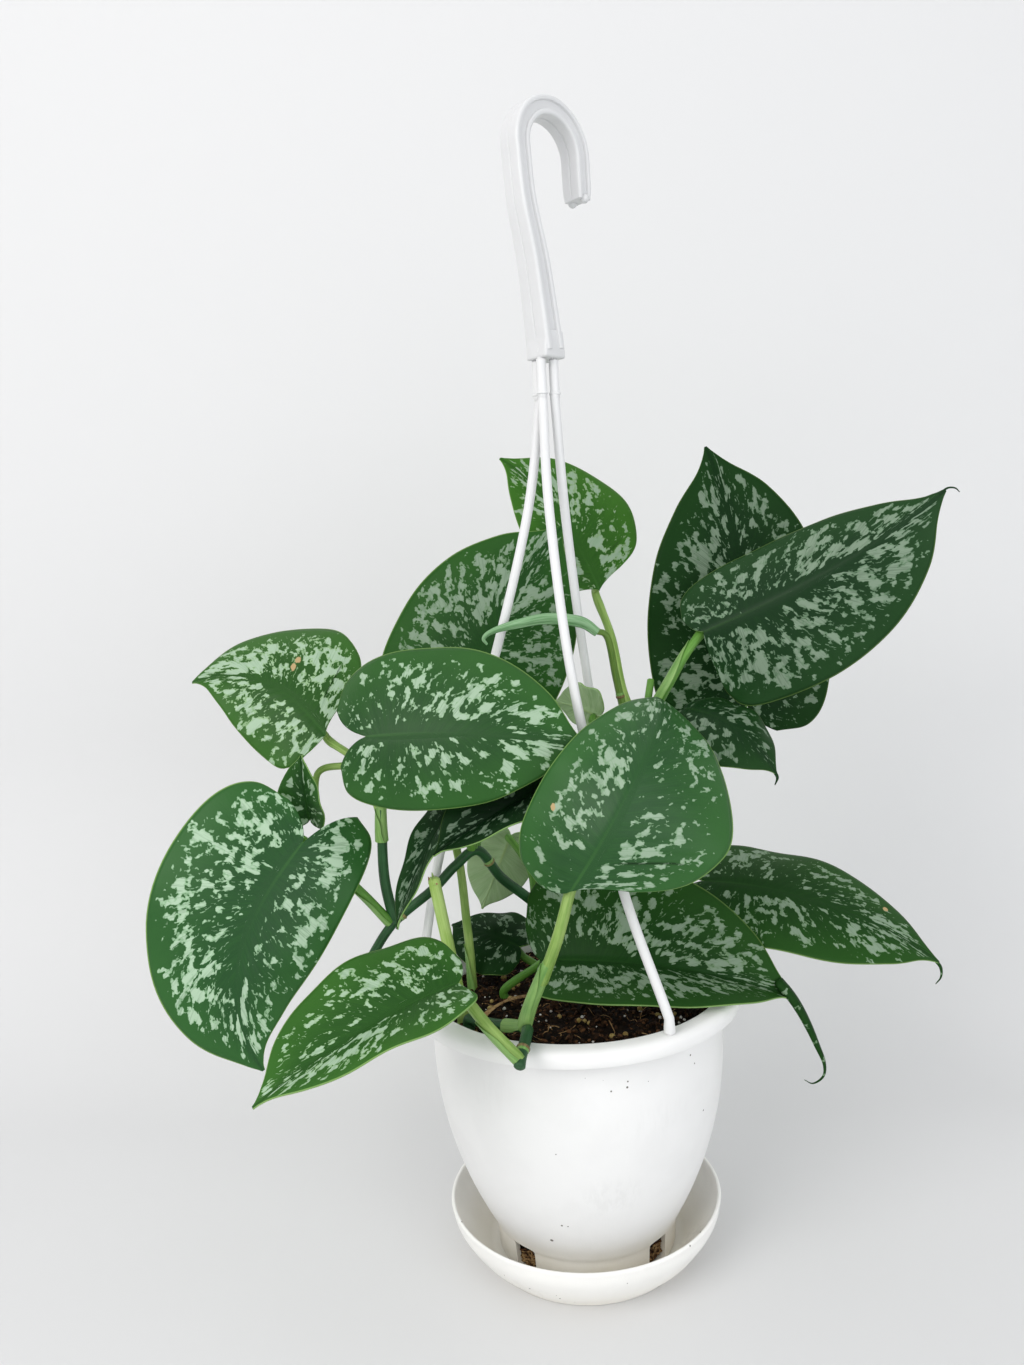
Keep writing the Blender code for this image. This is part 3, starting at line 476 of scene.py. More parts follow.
def turnedObject(name, profile, steps, materials, smoothAngle=35):
    # profile runs from the axis, out and round, back to the axis
    vertices = [(0.0, 0.0, profile[0][1])]
    angles = roundAngles(steps)
    for radius, z in profile[1:-1]:
        vertices += [(radius * math.cos(a), radius * math.sin(a), z) for a in angles]
    vertices.append((0.0, 0.0, profile[-1][1]))
    faces = turnedFaces(len(profile) - 2, steps)
    return meshObject(name, vertices, faces, materials, smoothAngle=smoothAngle)


def place(piece, *nodes, slot):
    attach(piece, "root")
    if nodes:
        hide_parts(*nodes)
    return piece


# Parts that are gathered into one mesh

def newParts():
    return {"vertices": [], "faces": [], "index": [], "line": [], "ring": []}


def addParts(parts, vertices, faces, slot, line=None, ring=None):
    # line holds tenths of a metre along a stem and its radius in hundredths, ring the direction round it
    start = len(parts["vertices"])
    parts["vertices"] += [tuple(v) for v in vertices]
    parts["faces"] += [tuple(start + n for n in face) for face in faces]
    parts["index"] += [slot] * len(faces)
    parts["line"] += [tuple(p) for p in line] if line is not None else [(0.0, 0.0)] * len(vertices)
    parts["ring"] += [tuple(p) for p in ring] if ring is not None else [(1.0, 0.0)] * len(vertices)


def partsObject(name, parts, materials, smoothAngle=50):
    return meshObject(name, parts["vertices"], parts["faces"], materials, parts["index"],
                      {"line": parts["line"], "ring": parts["ring"]}, smoothAngle)


def roundSection(sides, groove=0.0):
    # a round section, with a shallow groove along its upper side
    angles = roundAngles(sides)
    reach = 1 - groove * np.exp(-((angles - math.pi / 2) / 0.42) ** 2)
    return np.stack([reach * np.cos(angles), reach * np.sin(angles)], axis=1)


def sweep(route, radii, section, across=None, dome=True):
    # carries a section along a route without twist, or level with a fixed direction across it
    route, radii = np.asarray(route, float), np.asarray(radii, float)
    directions = np.gradient(route, axis=0)
    directions /= np.linalg.norm(directions, axis=1)[:, None] + 1e-12
    side = np.cross(directions[0], (0.0, 0.0, 1.0))
    if np.linalg.norm(side) < 0.1:
        side = np.cross(directions[0], (0.0, 1.0, 0.0))
    side = unit(side)
    stops = list(zip(route, radii, directions, routeLengths(route)))
    if dome:
        first, last = stops[0], stops[-1]
        stops.insert(0, (first[0] - first[2] * first[1] * 0.35, first[1] * 0.6, first[2], first[3]))
        stops.append((last[0] + last[2] * last[1] * 0.35, last[1] * 0.6, last[2], last[3]))
    vertices, line, ring = [], [], []
    count = len(section)
    for centre, radius, direction, walked in stops:
        if across is not None:
            other = unit(across)
            side = unit(np.cross(direction, other))
        else:
            side = unit(side - side.dot(direction) * direction)
            other = np.cross(direction, side)
        for a, b in section:
            vertices.append(centre + radius * (a * side + b * other))
            reach = math.hypot(a, b) or 1.0
            line.append((walked * 10, radius * 100))
            ring.append((a / reach, b / reach))
    faces = []
    for i in range(len(stops) - 1):
        for j in range(count):
            k = (j + 1) % count
            faces.append((i * count + j, i * count + k, (i + 1) * count + k, (i + 1) * count + j))
    last = (len(stops) - 1) * count
    faces.append(tuple(reversed(range(count))))
    faces.append(tuple(last + j for j in range(count)))
    return vertices, faces, line, ring


def addSweep(parts, route, radii, section, slot, **settings):
    vertices, faces, line, ring = sweep(route, radii, section, **settings)
    addParts(parts, vertices, faces, slot, line, ring)


def closedSheet(upper, lower):
    # two grids of points become a thin closed skin: its faces and which side each one is on
    rows, columns = upper.shape[:2]
    count = rows * columns
    faces, index = [], []
    for i in range(rows - 1):
        for j in range(columns - 1):
            a = i * columns + j
            b, c, d = a + 1, a + columns + 1, a + columns
            faces += [(a, d, c, b), (count + a, count + b, count + c, count + d)]
            index += [0, 1]
    border = list(range(columns)) + [(i + 1) * columns - 1 for i in range(1, rows)]
    border += [(rows - 1) * columns + j for j in reversed(range(columns - 1))]
    border += [i * columns for i in reversed(range(1, rows - 1))]
    for a, b in zip(border, border[1:] + border[:1]):
        faces.append((a, b, count + b, count + a))
        index.append(2)
    return np.concatenate([upper.reshape(-1, 3), lower.reshape(-1, 3)]), faces, index


def routePart(route, radii, fromShare, toShare, steps):
    # a stretch of a route, with the radius at each of its points
    lengths = routeLengths(route)
    places = np.linspace(fromShare, toShare, steps) * lengths[-1]
    points = np.stack([np.interp(places, lengths, route[:, axis]) for axis in range(3)], axis=1)
    return points, np.interp(places, lengths, radii)


# Leaves

bladeShape = {
    "thickness": 0.0008, "tipHalfWidth": 0.0006, "tipShare": 0.03, "wave": 0.0012, "waves": 2.2,
    "waveStarts": (1.0, 2.8), "sweepPower": 1.6, "lobeNod": 1.2, "flatTipShare": 0.2,
    "rows": 84, "halfColumns": 18, "veinSpacing": 0.0062, "veinDepth": 0.00022, "ribGroove": 0.0005,
    "ribHeight": 0.0010, "ribWidths": (0.0011, 0.0013), "unevenness": 0.0007, "unevenScale": 0.024,
}
leafBlades = {
    "leaf_low_left": dict(
        base=(-0.121, -0.035, 0.219), tip=(-0.139, -0.062, 0.124), face=(0.35, -0.90, 0.30),
        widths=(0.036, 0.049), lobes=(0.26, 0.12), sweep=75, bend=30, folds=(-5, -3), cup=-15),
    "leaf_front_left": dict(
        base=(-0.049, -0.075, 0.166), tip=(-0.124, -0.125, 0.140), face=(0.00, -0.15, 1.00),
        widths=(0.026, 0.035), lobes=(-0.05, 0.10), sweep=-10, bend=30, folds=(15, 22), cup=-15),
    "leaf_left": dict(
        base=(-0.114, -0.005, 0.264), tip=(-0.186, 0.020, 0.290), face=(0.05, -0.90, 0.45),
        widths=(0.030, 0.045), lobes=(0.02, -0.20), sweep=65, bend=35, folds=(-5, 0), cup=-20),
    "leaf_middle_left": dict(
        base=(-0.088, -0.038, 0.267), tip=(0.011, -0.050, 0.259), face=(0.0, -0.93, 0.37),
        widths=(0.043, 0.034), lobes=(0.21, 0.16), sweep=-10, bend=30, folds=(0, -8), cup=-20),
    "leaf_front": dict(
        base=(0.000, -0.080, 0.205), tip=(0.045, -0.018, 0.275), face=(0.10, -0.97, 0.20),
        widths=(0.037, 0.050), lobes=(0.09, -0.20), sweep=0, bend=125, folds=(-25, -5), cup=-15),
    "leaf_centre_back": dict(
        base=(-0.056, 0.026, 0.269), tip=(0.005, 0.042, 0.359), face=(-0.05, -0.97, 0.20),
        widths=(0.048, 0.045), lobes=(0.14, 0.14), sweep=-10, bend=20, folds=(0, 0), cup=-15),
    "leaf_top": dict(
        base=(0.023, 0.052, 0.325), tip=(-0.026, 0.060, 0.397), face=(0.2, -0.9, 0.4),
        widths=(0.025, 0.043), lobes=(-0.10, -0.15), sweep=25, bend=25, folds=(0, -5), cup=-15),
    "leaf_right_back": dict(
        base=(0.097, 0.050, 0.262), tip=(0.082, 0.062, 0.397), face=(0.05, -0.95, 0.20),
        widths=(0.050, 0.048), lobes=(0.12, 0.12), sweep=20, bend=15, folds=(0, 0), cup=-15),
    "leaf_right": dict(
        base=(0.071, 0.014, 0.303), tip=(0.178, -0.012, 0.363), face=(0.10, -0.97, 0.20),
        widths=(0.034, 0.046), lobes=(0.08, 0.02), sweep=18, bend=15, folds=(-35, -3), cup=-12),
    "leaf_right_small": dict(
        base=(0.059, 0.004, 0.267), tip=(0.097, -0.020, 0.238), face=(0.25, -0.7, 0.65),
        widths=(0.024, 0.026), lobes=(0.06, 0.06), sweep=0, bend=80, folds=(-5, 0), cup=-30),
    "leaf_low_right_back": dict(
        base=(0.069, 0.028, 0.174), tip=(0.178, 0.003, 0.136), face=(0.1, -0.5, 0.85),
        widths=(0.035, 0.035), lobes=(0.14, 0.14), sweep=0, bend=50, folds=(0, 0), cup=-20),
    "leaf_low_right": dict(
        base=(-0.0165, -0.008, 0.149), tip=(0.103, -0.021, 0.131), face=(0, -0.80, 0.60),
        widths=(0.048, 0.033), lobes=(0.075, -0.04), sweep=-8, bend=40, folds=(10, 45), cup=-12),
    "leaf_soil_back": dict(
        base=(-0.028, 0.025, 0.144), tip=(-0.065, 0.048, 0.149), face=(0.1, -0.5, 0.85),
        widths=(0.022, 0.022), lobes=(0.12, 0.12), sweep=0, bend=20, folds=(0, 0), cup=-20),
    "leaf_left_edge": dict(
        base=(-0.1240, -0.008, 0.2230), tip=(-0.1250, -0.011, 0.2560), face=(-0.25, -0.95, 0.10),
        widths=(0.013, 0.013), lobes=(0.06, 0.06), sweep=0, bend=20, folds=(34, 34), cup=-10),
    "leaf_inner_left": dict(
        base=(-0.0515, -0.022, 0.233), tip=(-0.0805, -0.034, 0.176), face=(-0.78, -0.62, 0.1),
        widths=(0.011, 0.013), lobes=(0.06, 0.06), sweep=10, bend=15, folds=(18, 12), cup=-10),
    "leaf_inner": dict(
        base=(-0.002, -0.032, 0.242), tip=(-0.060, -0.045, 0.213), face=(0.1, -0.55, 0.8),
        widths=(0.023, 0.023), lobes=(0.08, 0.08), sweep=0, bend=20, folds=(35, 35), cup=-10),
    "leaf_back_pale": dict(
        base=(-0.030, 0.040, 0.199), tip=(-0.048, 0.046, 0.158), face=(0.1, 0.9, 0.3),
        widths=(0.018, 0.018), lobes=(0.12, 0.12), sweep=0, bend=25, folds=(5, 5), cup=-20),
    "leaf_back_dark": dict(
        base=(0.018, 0.000, 0.266), tip=(-0.003, 0.010, 0.273), face=(0.1, 0.85, 0.5),
        widths=(0.016, 0.011), lobes=(0.12, 0.12), sweep=0, bend=25, folds=(5, 5), cup=-20),
}
# how yellow each leaf is, how much silver it carries, how glossy it is and where its pattern starts; each
# leaf's green and silver brightness factors are painted light and shade, above one on the lit front leaves
# and below one on the shaded right, back and inner ones
leafLooks = {
    "leaf_low_left": dict(young=0.10, cover=0.42, paintedLightAndShade=1.15, silverPaintedLightAndShade=1.10, satin=0.20, seed=3.0),
    "leaf_front_left": dict(young=0.55, cover=0.38, paintedLightAndShade=1.00, silverPaintedLightAndShade=1.05, satin=0.10, seed=17.0),
    "leaf_left": dict(young=0.60, cover=0.53, paintedLightAndShade=0.90, silverPaintedLightAndShade=0.98, satin=0.14, seed=29.0),
    "leaf_middle_left": dict(young=0.25, cover=0.32, paintedLightAndShade=0.95, silverPaintedLightAndShade=0.95, satin=0.18, seed=41.0),
    "leaf_front": dict(young=0.15, cover=0.28, paintedLightAndShade=1.15, silverPaintedLightAndShade=0.80, satin=0.24, seed=53.0),
    "leaf_centre_back": dict(young=0.30, cover=0.46, paintedLightAndShade=0.80, silverPaintedLightAndShade=0.60, satin=0.06, seed=67.0),
    "leaf_top": dict(young=0.80, cover=0.36, paintedLightAndShade=0.95, silverPaintedLightAndShade=0.72, satin=0.06, seed=71.0),
    "leaf_right_back": dict(young=0.10, cover=0.38, paintedLightAndShade=0.42, silverPaintedLightAndShade=0.45, satin=0.05, seed=83.0),
    "leaf_right": dict(young=0.05, cover=0.46, paintedLightAndShade=0.55, silverPaintedLightAndShade=0.56, satin=0.14, seed=97.0),
    "leaf_right_small": dict(young=0.10, cover=0.30, paintedLightAndShade=0.50, silverPaintedLightAndShade=0.45, satin=0.10, seed=103.0),
    "leaf_low_right_back": dict(young=0.35, cover=0.34, paintedLightAndShade=0.65, silverPaintedLightAndShade=0.62, satin=0.06, seed=113.0),
    "leaf_low_right": dict(young=0.35, cover=0.42, paintedLightAndShade=0.58, silverPaintedLightAndShade=0.56, satin=0.05, seed=127.0),
    "leaf_soil_back": dict(young=0.10, cover=0.32, paintedLightAndShade=0.40, silverPaintedLightAndShade=0.45, satin=0.04, seed=131.0),
    "leaf_left_edge": dict(young=0.30, cover=0.34, paintedLightAndShade=0.80, silverPaintedLightAndShade=0.80, satin=0.10, seed=149.0),
    "leaf_inner_left": dict(young=0.05, cover=0.34, paintedLightAndShade=0.45, silverPaintedLightAndShade=0.45, satin=0.08, seed=151.0),
    "leaf_inner": dict(young=0.0, cover=0.26, paintedLightAndShade=0.30, silverPaintedLightAndShade=0.40, satin=0.06, seed=163.0),
    "leaf_back_pale": dict(young=0.30, cover=0.40, paintedLightAndShade=0.70, silverPaintedLightAndShade=0.80, satin=0.06, seed=173.0),
    "leaf_back_dark": dict(young=0.20, cover=0.40, paintedLightAndShade=0.70, silverPaintedLightAndShade=0.80, satin=0.06, seed=181.0),
}
# dry scars and torn margins: their middle and their reach
leafScars = {
    "leaf_left": [((-0.1324, 0.0148, 0.2957), (0.0022, 0.005, 0.0034)),
                  ((-0.1304, 0.0182, 0.2990), (0.0026, 0.005, 0.0032))],
    "leaf_low_right_back": [((0.1566, 0.0164, 0.1594), (0.0034, 0.004, 0.0017))],
    "leaf_front": [((-0.0055, -0.0715, 0.2390), (0.0015, 0.005, 0.0030))],
}
leafColours = {
    "deep": (0.011, 0.053, 0.015), "deepYoung": (0.028, 0.100, 0.012),
    "outer": (0.018, 0.084, 0.018), "outerYoung": (0.052, 0.165, 0.018),
    "silver": (0.230, 0.390, 0.230), "silverPale": (0.370, 0.510, 0.360),
    "silverYoung": (0.290, 0.450, 0.200),
    "rib": (0.050, 0.160, 0.030), "edge": (0.22, 0.38, 0.10),
    "under": (0.310, 0.470, 0.230), "underVein": (0.400, 0.550, 0.300), "underRib": (0.36, 0.50, 0.20),
    "edgeDeep": (0.16, 0.30, 0.08), "scar": (0.46, 0.33, 0.16), "roughness": 0.40,
}


def bladeEdge(share, whole, width, lobe):
    length = whole * (1 - bladeShape["tipShare"])
    back, side, shoulder, widest, reach = -0.97 * lobe, -0.72 * lobe, 0.07, 0.36, (0.36, 0.75, 0.965)
    if lobe <= 0:
        back, side, shoulder, widest = -0.5 * lobe, -lobe, 0.10 - 1.2 * lobe, 0.36 - 0.5 * lobe
        reach = (0.42, 0.80, 0.97)
    knots = np.array([
        *((s * length, r * width) for s, r in zip((back, side, shoulder), reach)),
        (widest * length, 1.00 * width), (0.62 * length, 0.84 * width), (0.82 * length, 0.52 * width),
        (0.94 * length, 0.19 * width), (length, 0.06 * width), (whole, bladeShape["tipHalfWidth"])])
    beforeFirst = 2 * knots[0] - knots[1] - (0.0, 0.25 * width)
    knots = [beforeFirst, *knots, 2 * knots[-1] - knots[-2]]
    spot = share * (len(knots) - 3)
    i = min(int(spot), len(knots) - 4)
    return catmullRom(*knots[i:i + 4], spot - i)


def flatBladePoint(u, v, length, width, lobe):
    rib = np.array((length * u**1.5, 0.0))
    edge = bladeEdge(u, length, width, lobe)
    bow = (edge + rib) / 2
    if u < 0.25 and lobe > 0:
        bow *= (1.4 - 1.6 * u, 0.50 + 2.0 * u)
    elif u < 0.25:
        bow *= (1.1, 0.35 + 2.6 * u)
    a = abs(v)
    along, across = (1 - a) ** 2 * rib + 2 * a * (1 - a) * bow + a**2 * edge
    return along, math.copysign(across, v) if v else 0.0


def bentLine(length, turn, power=1.0, steps=40):
    shares = np.linspace(0, 1, steps + 1)
    angle = turn * shares**power
    middle = (angle[1:] + angle[:-1]) / 2
    x = np.concatenate([[0], np.cumsum(np.cos(middle))]) * length / steps
    y = np.concatenate([[0], np.cumsum(np.sin(middle))]) * length / steps
    return shares * length, x, y, angle


def alongLine(line, s, offset):
    arc, x, y, angle = line
    turned = np.interp(s, arc, angle)
    beyond = min(s, 0.0) + max(s - arc[-1], 0.0)
    return (np.interp(s, arc, x) + beyond * math.cos(turned) - offset * math.sin(turned),
            np.interp(s, arc, y) + beyond * math.sin(turned) + offset * math.cos(turned))


def localBladePoint(leaf, length, u, v, midrib=None, fall=None):
    side = 0 if v >= 0 else 1
    width = leaf["widths"][side]
    along, across = flatBladePoint(u, v, length, width, leaf["lobes"][side])
    tau = min(1.2, abs(across) / width)
    fold = math.radians(leaf["folds"][side]) * min(1.0, (1 - u) / bladeShape["flatTipShare"])
    cup = math.radians(leaf["cup"])
    out = width * (math.sin(fold + cup * tau) - math.sin(fold)) / cup
    lift = width * (math.cos(fold) - math.cos(fold + cup * tau)) / cup
    lift += bladeShape["wave"] * tau**2 * math.sin(
        2 * math.pi * bladeShape["waves"] * along / length + bladeShape["waveStarts"][side])
    midrib = midrib or bentLine(length, math.radians(leaf["sweep"]), bladeShape["sweepPower"])
    forward, left = alongLine(midrib, along, out if side == 0 else -out)
    nod = bladeShape["lobeNod"] * min(forward, 0.0) ** 2 / length
    fall = fall or bentLine(length, -math.radians(leaf["bend"]))
    forward, up = alongLine(fall, forward, lift - nod)
    return np.array((forward, left, up))


def bladeFrame(leaf):
    base, tip = np.array(leaf["base"]), np.array(leaf["tip"])
    length = np.linalg.norm(tip - base)
    for _ in range(4):
        reach = localBladePoint(leaf, length, 1.0, 0.0)
        length *= np.linalg.norm(tip - base) / np.linalg.norm(reach)
    ownTip, ownUp = unit(reach), np.array((0.0, 0.0, 1.0))
    ownUp = unit(ownUp - ownUp.dot(ownTip) * ownTip)
    toTip, face = unit(tip - base), np.array(leaf["face"], float)
    up = unit(face - face.dot(toTip) * toTip)
    ownAxes = np.array((ownTip, np.cross(ownUp, ownTip), ownUp))
    axes = np.array((toTip, np.cross(up, toTip), up))
    return length, axes.T @ ownAxes, base


def bladeGrid(leaf):
    rows, half = bladeShape["rows"], bladeShape["halfColumns"]
    length, turn, base = bladeFrame(leaf)
    midrib = bentLine(length, math.radians(leaf["sweep"]), bladeShape["sweepPower"])
    fall = bentLine(length, -math.radians(leaf["bend"]))
    shares = np.linspace(0, 1, half + 1) ** 0.9
    sides = np.concatenate([-shares[:0:-1], shares])
    us = np.linspace(0, 1, rows + 1)
    grid = [[base + turn @ localBladePoint(leaf, length, u, v, midrib, fall) for v in sides] for u in us]
    return np.array(grid), us, sides


def gridNormals(grid):
    alongRows = np.gradient(grid, axis=0)
    acrossRows = np.gradient(grid, axis=1)
    normals = np.cross(alongRows, acrossRows)
    return normals / (np.linalg.norm(normals, axis=2)[..., None] + 1e-12)


def bladeGrain(grid, sides):
    # distance from the midrib along each side vein, and distance across the veins, both in metres
    middle = len(sides) // 2
    steps = np.linalg.norm(np.diff(grid, axis=1), axis=2)
    along = np.zeros(grid.shape[:2])
    along[:, middle + 1:] = np.cumsum(steps[:, middle:], axis=1)
    along[:, :middle] = -np.cumsum(steps[:, :middle][:, ::-1], axis=1)[:, ::-1]
    across = np.zeros(grid.shape[:2])
    for column, start in ((int(len(sides) * 0.22), 0.35), (int(len(sides) * 0.78), 0.0)):
        walked = np.concatenate([[0], np.cumsum(np.linalg.norm(np.diff(grid[:, column], axis=0), axis=1))])
        if column < middle:
            across[:, :middle] = (walked + start)[:, None]
        else:
            across[:, middle:] = (walked + start)[:, None]
    return along, across


def makeBladeMesh(name, leaf, materials):
    shape = bladeShape
    widthAbove, widthUnder = shape["ribWidths"]
    grid, us, sides = bladeGrid(leaf)
    normals = gridNormals(grid)
    along, across = bladeGrain(grid, sides)
    seed = leafLooks[name]["seed"]
    scale = shape["unevenScale"]
    uneven = np.array([[noise.noise(Vector(p) / scale + Vector((seed, 0, 0))) for p in row] for row in grid])
    reach = np.abs(sides)[None, :]
    ends = np.clip(us * 8, 0, 1)[:, None] * np.clip((1 - us) * 8, 0, 1)[:, None]
    veins = 0.5 + 0.5 * np.cos(2 * math.pi * across / shape["veinSpacing"])
    relief = shape["unevenness"] * uneven * reach * ends
    relief -= shape["veinDepth"] * veins**3 * np.clip(reach * 6, 0, 1) * np.clip((1 - reach) * 3, 0, 1) * ends
    ribShare = np.exp(-(along / widthAbove) ** 2) * np.clip(1.15 - us, 0, 1)[:, None]
    upper = grid + normals * (shape["thickness"] / 2 + relief - shape["ribGroove"] * ribShare)[..., None]
    ribUnder = np.exp(-(along / widthUnder) ** 2) * np.clip(1.1 - us, 0, 1)[:, None]
    thin = shape["thickness"] / 2 * (1 - 0.4 * reach**4)
    lower = grid - normals * (thin - relief + shape["ribHeight"] * ribUnder)[..., None]
    vertices, faces, index = closedSheet(upper, lower)
    blade = np.stack(np.broadcast_arrays((sides[None, :] + 1) / 2, us[:, None]), axis=-1).reshape(-1, 2)
    grain = np.stack([along, across], axis=-1).reshape(-1, 2) * 10
    return meshObject(name + "_blade", vertices, faces, materials, index,
                      {"blade": np.tile(blade, (2, 1)), "grain": np.tile(grain, (2, 1))})


def bladeCoordinates(tree):
    return uvPlace(tree, "blade"), uvPlace(tree, "grain")


def makeUpperMaterial(name, look):
    material, tree, surface = newMaterial(name + "Upper")
    colours, young, seed = leafColours, look["young"], look["seed"]
    blade, grain = bladeCoordinates(tree)
    place = objectPlace(tree)
    pattern = useGroup(tree, blotchGroup, grain=grain, blade=blade, place=place, seed=seed,
                       cover=look["cover"])
    veins = useGroup(tree, veinGroup, grain=grain, blade=blade, seed=seed)

    # every leaf colour here but the scar is scaled by the leaf's painted light and shade factors
    def blend(first, second, paintedLightKey="paintedLightAndShade"):
        return tuple(look[paintedLightKey] * (a + (b - a) * young) for a, b in zip(colours[first], colours[second]))

    patches = noiseAt(tree, place, 28.0, 2.0)
    parted = separate(tree, blade)
    side = calc(tree, "ABSOLUTE", calc(tree, "MULTIPLY_ADD", parted[0], 2.0, -1.0))
    outward = times(tree, smoothRange(tree, side, 0.25, 1.0), plus(tree, patches, 0.45))
    green = mixColours(tree, outward, blend("deep", "deepYoung"), blend("outer", "outerYoung"))
    green = mixColours(tree, times(tree, smoothRange(tree, veins["streak"], 0.42, 0.62), 0.30), green,
                       blend("outer", "outerYoung"))
    # the silver is scaled by its own painted light and shade factor
    silver = mixColours(tree, pattern["core"], blend("silver", "silverYoung", "silverPaintedLightAndShade"),
                        tuple(look["silverPaintedLightAndShade"] * c for c in colours["silverPale"]))
    silver = mixColours(tree, times(tree, smoothRange(tree, veins["streak"], 0.52, 0.38), 0.35), silver,
                        blend("outer", "silver"))
    colour = mixColours(tree, times(tree, pattern["blotch"], 0.96), green, silver)
    ribFade = times(tree, veins["midrib"], smoothRange(tree, parted[1], 0.0, 0.60, 0.35, 0.03))
    colour = mixColours(tree, ribFade, colour, tuple(look["paintedLightAndShade"] * c for c in colours["rib"]))
    colour = mixColours(tree, times(tree, veins["margin"], 0.7), colour,
                        tuple(look["paintedLightAndShade"] * c for c in colours["edge"]))
    for centre, reach in leafScars.get(name, ()):
        ragged = times(tree, noiseAt(tree, place, 420.0, 2.0), 0.9)
        scar = markAt(tree, place, centre, reach, ragged)
        colour = mixColours(tree, scar, colour, colours["scar"])
    rough = plus(tree, times(tree, patches, 0.16), colours["roughness"] - 0.08)
    rough = minus(tree, rough, times(tree, pattern["blotch"], 0.05))
    height = plus(tree, times(tree, veins["height"], 0.6), times(tree, pattern["blotch"], 0.35))
    setSurface(tree, surface, height, depth=0.00035, colour=colour, roughness=rough, specular=look["satin"])
    return material


def makeUnderMaterial():
    material, tree, surface = newMaterial("leafUnder")
    blade, grain = bladeCoordinates(tree)
    veins = useGroup(tree, veinGroup, grain=grain, blade=blade, seed=7.0)
    place = objectPlace(tree)
    colour = mixColours(tree, smoothRange(tree, veins["streak"], 0.38, 0.62), leafColours["under"],
                        leafColours["underVein"])
    shade = times(tree, smoothRange(tree, noiseAt(tree, place, 24.0), 0.35, 0.65), 0.4)
    colour = mixColours(tree, shade, colour, tuple(0.7 * c for c in leafColours["under"]))
    colour = mixColours(tree, times(tree, veins["midrib"], 0.7), colour, leafColours["underRib"])
    setSurface(tree, surface, veins["height"], depth=0.0004, colour=colour, roughness=0.55, specular=0.4)
    return material


def makeEdgeMaterial():
    material, tree, surface = newMaterial("leafEdge")
    place = objectPlace(tree)
    colour = mixColours(tree, noiseAt(tree, place, 120.0), leafColours["edge"], leafColours["edgeDeep"])
    setSurface(tree, surface, colour=colour, roughness=0.5)
    return material


# The leaf that is still rolled up

rolledLeaf = {
    "points": [(0.0190, 0.0050, 0.3060), (0.0110, 0.0035, 0.3115), (-0.0050, 0.0000, 0.3140),
               (-0.0210, -0.0045, 0.3120), (-0.0310, -0.0070, 0.3095), (-0.0350, -0.0080, 0.3065),
               (-0.0335, -0.0080, 0.3035)],
    "radii": [0.0024, 0.0030, 0.0029, 0.0022, 0.0014, 0.0010, 0.0006],
    "perSpan": 9, "turns": 1.35, "layer": 0.17, "pale": (0.250, 0.430, 0.230), "deep": (0.120, 0.280, 0.110),
}


def rolledSection(turns, layer, steps=44):
    # a flat sheet rolled on itself: once round outside and back inside, one layer thick
    angles = np.linspace(0, 2 * math.pi * turns, steps)
    reach = 1.0 - layer * 1.25 * (1 - angles / angles[-1])
    outer = np.stack([reach * np.cos(angles), reach * np.sin(angles)], axis=1)
    inner = np.stack([(reach - layer) * np.cos(angles), (reach - layer) * np.sin(angles)], axis=1)
    return np.concatenate([outer, inner[::-1]])


def fibresAlong(tree):
    # the fibre effect, laid along a stem or roll by its two UV layers
    line, ring = separate(tree, uvPlace(tree, "line")), separate(tree, uvPlace(tree, "ring"))
    return useGroup(tree, fibreGroup, along=line[0], ringX=ring[0], ringY=ring[1])


def makeRolledMaterial():
    material, tree, surface = newMaterial("rolledYoungLeaf")
    fibre = fibresAlong(tree)
    streak = smoothRange(tree, fibre["streak"], 0.35, 0.62)
    colour = mixColours(tree, streak, rolledLeaf["deep"], rolledLeaf["pale"])
    setSurface(tree, surface, fibre["height"], colour=colour, roughness=0.48, specular=0.3)
    return material


def makeRolledLeaf():
    route, radii = taperedRoute(rolledLeaf)
    parts = newParts()
    addSweep(parts, route, radii, rolledSection(rolledLeaf["turns"], rolledLeaf["layer"]), 0, dome=False)
    piece = partsObject("leaf_rolled_roll", parts, [makeRolledMaterial()], 60)
    place(piece, "leaf_rolled", slot="green_leaf")


# Long tips that grow out of the blades

tipCurls = {
    "leaf_low_right": dict(
        points=[(0.0955, -0.0200, 0.1385), (0.1000, -0.0212, 0.1330), (0.1040, -0.0222, 0.1265),
                (0.1080, -0.0235, 0.1180), (0.1113, -0.0245, 0.1095), (0.1143, -0.0253, 0.1010),
                (0.1137, -0.0260, 0.0948), (0.1090, -0.0260, 0.0914), (0.1050, -0.0260, 0.0932)],
        radii=(0.0042, 0.0040, 0.0037, 0.0031, 0.0024, 0.0015, 0.0010, 0.0006, 0.0003)),
    "leaf_right": dict(
        points=[(0.1755, -0.0115, 0.3615), (0.1790, -0.0120, 0.3638), (0.1822, -0.0124, 0.3636),
                (0.1840, -0.0126, 0.3618)],
        radii=(0.0011, 0.0009, 0.0006, 0.0003)),
    "leaf_low_right_back": dict(
        points=[(0.1765, 0.0040, 0.1372), (0.1785, 0.0022, 0.1338), (0.1782, 0.0012, 0.1295),
                (0.1755, 0.0008, 0.1262)],
        radii=(0.0013, 0.0011, 0.0007, 0.0003)),
    "leaf_right_small": dict(
        points=[(0.0966, -0.0195, 0.2388), (0.0975, -0.0205, 0.2362), (0.0962, -0.0210, 0.2330)],
        radii=(0.0012, 0.0009, 0.0003)),
}
curlSection = np.array([(math.cos(a) * (1 - 0.35 * math.exp(-((a - math.pi / 2) / 0.5) ** 2)),
                         0.62 * math.sin(a) * (1 - 0.75 * math.exp(-((a - math.pi / 2) / 0.5) ** 2)))
                        for a in roundAngles(22)])


